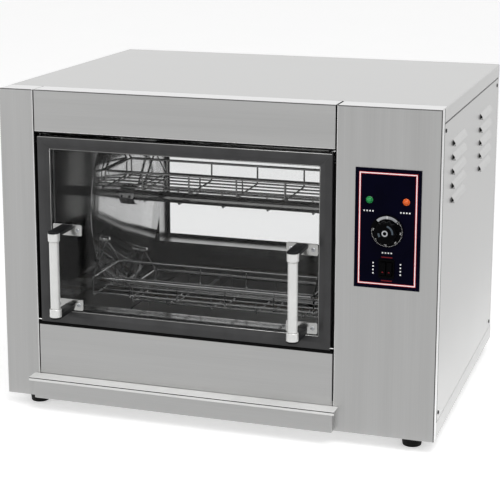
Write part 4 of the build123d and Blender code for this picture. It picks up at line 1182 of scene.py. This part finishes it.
class ROTISSERIE_OT_stage(bpy.types.Operator):
    """Set the floor, the light and the camera"""
    bl_idname = "rotisserie.stage"
    bl_label = "Stage"

    def execute(self, context):
        scene = context.scene
        setup = scene.rotisserie_stage
        self.floor()
        self.cards(setup)
        self.world(scene, setup)
        self.lamps(scene, setup)
        data = bpy.data.cameras.new("camera")
        data.lens = setup.lens
        data.shift_x, data.shift_y = setup.shift_x, setup.shift_y
        camera = bpy.data.objects.new("camera", data)
        camera.location = setup.camera
        camera.rotation_euler = (math.radians(90) - setup.elevation, 0, setup.azimuth)
        scene.collection.objects.link(camera)
        scene.camera = camera
        scene.view_settings.view_transform = "Standard"
        return {"FINISHED"}

    def sheet(self, name, material, width, depth, place, tilt=0.0):
        """A flat sheet of the set."""
        mesh = bpy.data.meshes.new(name)
        bm = bmesh.new()
        bmesh.ops.create_grid(bm, x_segments=1, y_segments=1, size=0.5)
        bmesh.ops.scale(bm, vec=(width, depth, 1), verts=bm.verts)
        placed(bm, Matrix.Translation(place) @ Matrix.Rotation(tilt, 4, "X"))
        bm.to_mesh(mesh)
        bm.free()
        mesh.materials.append(material)
        item = bpy.data.objects.new(name, mesh)
        bpy.context.scene.collection.objects.link(item)
        return item

    def floor(self):
        """A pale floor that is lifted to the backdrop's white where it is looked at, and keeps its shadow."""
        pale, lift, wide = (0.86, 0.86, 0.86), 0.42, 24
        material, tree, shader = surface("pale_floor", pale, {"Roughness": 0.8, "Emission Color": WHITE})
        cloud = noise(tree, (3.0, 3.0, 3.0), detail=3.0)
        shade(tree, shader, cloud, pale, dark=0.99, light=1.01)
        glow = add(tree, "Math", {0: seen_rays(tree), 1: lift}, operation="MULTIPLY")
        tree.links.new(glow.outputs[0], shader.inputs["Emission Strength"])
        self.sheet("floor", material, wide, wide, (0, 0, 0))

    def cards(self, setup):
        """Grey cards round the oven, seen only in its gloss and, but for the side card, through its glass."""
        for name, glow, width, depth, place, tilt in (
                ("low_card", setup.low_card, 7, 3.0, (0, -1.82, 0.002), 0),
                ("side_card", setup.side_card, 2.4, 5, (1.75, 2.6, 0.003), 0),
                ("high_card", setup.high_card, 7, 3.2, (0, -3.3, 1.6), math.radians(90))):
            material = bpy.data.materials.new(name)
            material.use_nodes = True
            tree = material.node_tree
            tree.nodes.clear()
            light = add(tree, "Emission", {"Strength": glow})
            add(tree, "OutputMaterial", {0: light.outputs[0]})
            card = self.sheet(name, material, width, depth, place, tilt)
            card.visible_camera = card.visible_diffuse = card.visible_shadow = False
            card.visible_transmission = name != "side_card"

    def world(self, scene, setup):
        """Even light, before a white backdrop."""
        scene.world = bpy.data.worlds.new("studio")
        scene.world.use_nodes = True
        tree = scene.world.node_tree
        tree.nodes.clear()
        even = add(tree, "Background", {"Color": WHITE, "Strength": setup.world})
        backdrop = add(tree, "Background", {"Color": WHITE})
        mix = add(tree, "MixShader", {0: seen_rays(tree), 1: even.outputs[0], 2: backdrop.outputs[0]})
        add(tree, "OutputWorld", {0: mix.outputs[0]})

    def lamps(self, scene, setup):
        aim = Vector((0, 0, 0.3))
        for name, power, size, place in (("key", setup.key, 2.4, (1.2, -1.6, 3.2)),
                                         ("fill", setup.fill, 2.0, (-2.6, -2.2, 1.6))):
            data = bpy.data.lights.new(name, "AREA")
            data.energy = power
            data.size = size
            lamp = bpy.data.objects.new(name, data)
            lamp.location = place
            lamp.rotation_euler = (aim - Vector(place)).to_track_quat("-Z", "Y").to_euler()
            scene.collection.objects.link(lamp)


OPERATORS = (ROTISSERIE_OT_finishes, ROTISSERIE_OT_baskets, ROTISSERIE_OT_wheel, ROTISSERIE_OT_door_frame,
             ROTISSERIE_OT_door_highlights, ROTISSERIE_OT_door_seal, ROTISSERIE_OT_handles,
             ROTISSERIE_OT_tray_front, ROTISSERIE_OT_overlay, ROTISSERIE_OT_knob, ROTISSERIE_OT_pilots,
             ROTISSERIE_OT_switch, ROTISSERIE_OT_heaters, ROTISSERIE_OT_feet, ROTISSERIE_OT_gland,
             ROTISSERIE_OT_folds, ROTISSERIE_OT_louvres, ROTISSERIE_OT_screws, ROTISSERIE_OT_stage)
GROUPS = {"rotisserie_form": RotisserieForm, "rotisserie_finish": RotisserieFinish,
          "rotisserie_stage": RotisserieStage}


class ROTISSERIE_PT_sidebar(bpy.types.Panel):
    """Lists the sizes, finishes and operators"""
    bl_idname = "ROTISSERIE_PT_sidebar"
    bl_label = "Rotisserie"
    bl_space_type = "VIEW_3D"
    bl_region_type = "UI"
    bl_category = "Rotisserie"

    def draw(self, context):
        for operator in OPERATORS:
            self.layout.operator(operator.bl_idname)
        for name, group in GROUPS.items():
            box = self.layout.box()
            for value in group.__annotations__:
                box.prop(getattr(context.scene, name), value)


CLASSES = (*GROUPS.values(), *OPERATORS, ROTISSERIE_PT_sidebar)


def register():
    for item in CLASSES:
        bpy.utils.register_class(item)
    for name, group in GROUPS.items():
        setattr(bpy.types.Scene, name, PointerProperty(type=group))


def unregister():
    for name in GROUPS:
        delattr(bpy.types.Scene, name)
    for item in reversed(CLASSES):
        bpy.utils.unregister_class(item)


def main():
    register()
    bpy.ops.rotisserie.finishes()
    bpy.ops.rotisserie.baskets()
    bpy.ops.rotisserie.wheel()
    bpy.ops.rotisserie.door_frame()
    bpy.ops.rotisserie.door_trim()
    bpy.ops.rotisserie.door_seal()
    bpy.ops.rotisserie.handles()
    bpy.ops.rotisserie.tray_front()
    bpy.ops.rotisserie.overlay()
    bpy.ops.rotisserie.knob()
    bpy.ops.rotisserie.pilots()
    bpy.ops.rotisserie.switch()
    bpy.ops.rotisserie.heaters()
    bpy.ops.rotisserie.feet()
    bpy.ops.rotisserie.gland()
    bpy.ops.rotisserie.folds()
    bpy.ops.rotisserie.louvres()
    bpy.ops.rotisserie.screws()
    bpy.ops.rotisserie.stage()


if __name__ == "__main__":
    main()
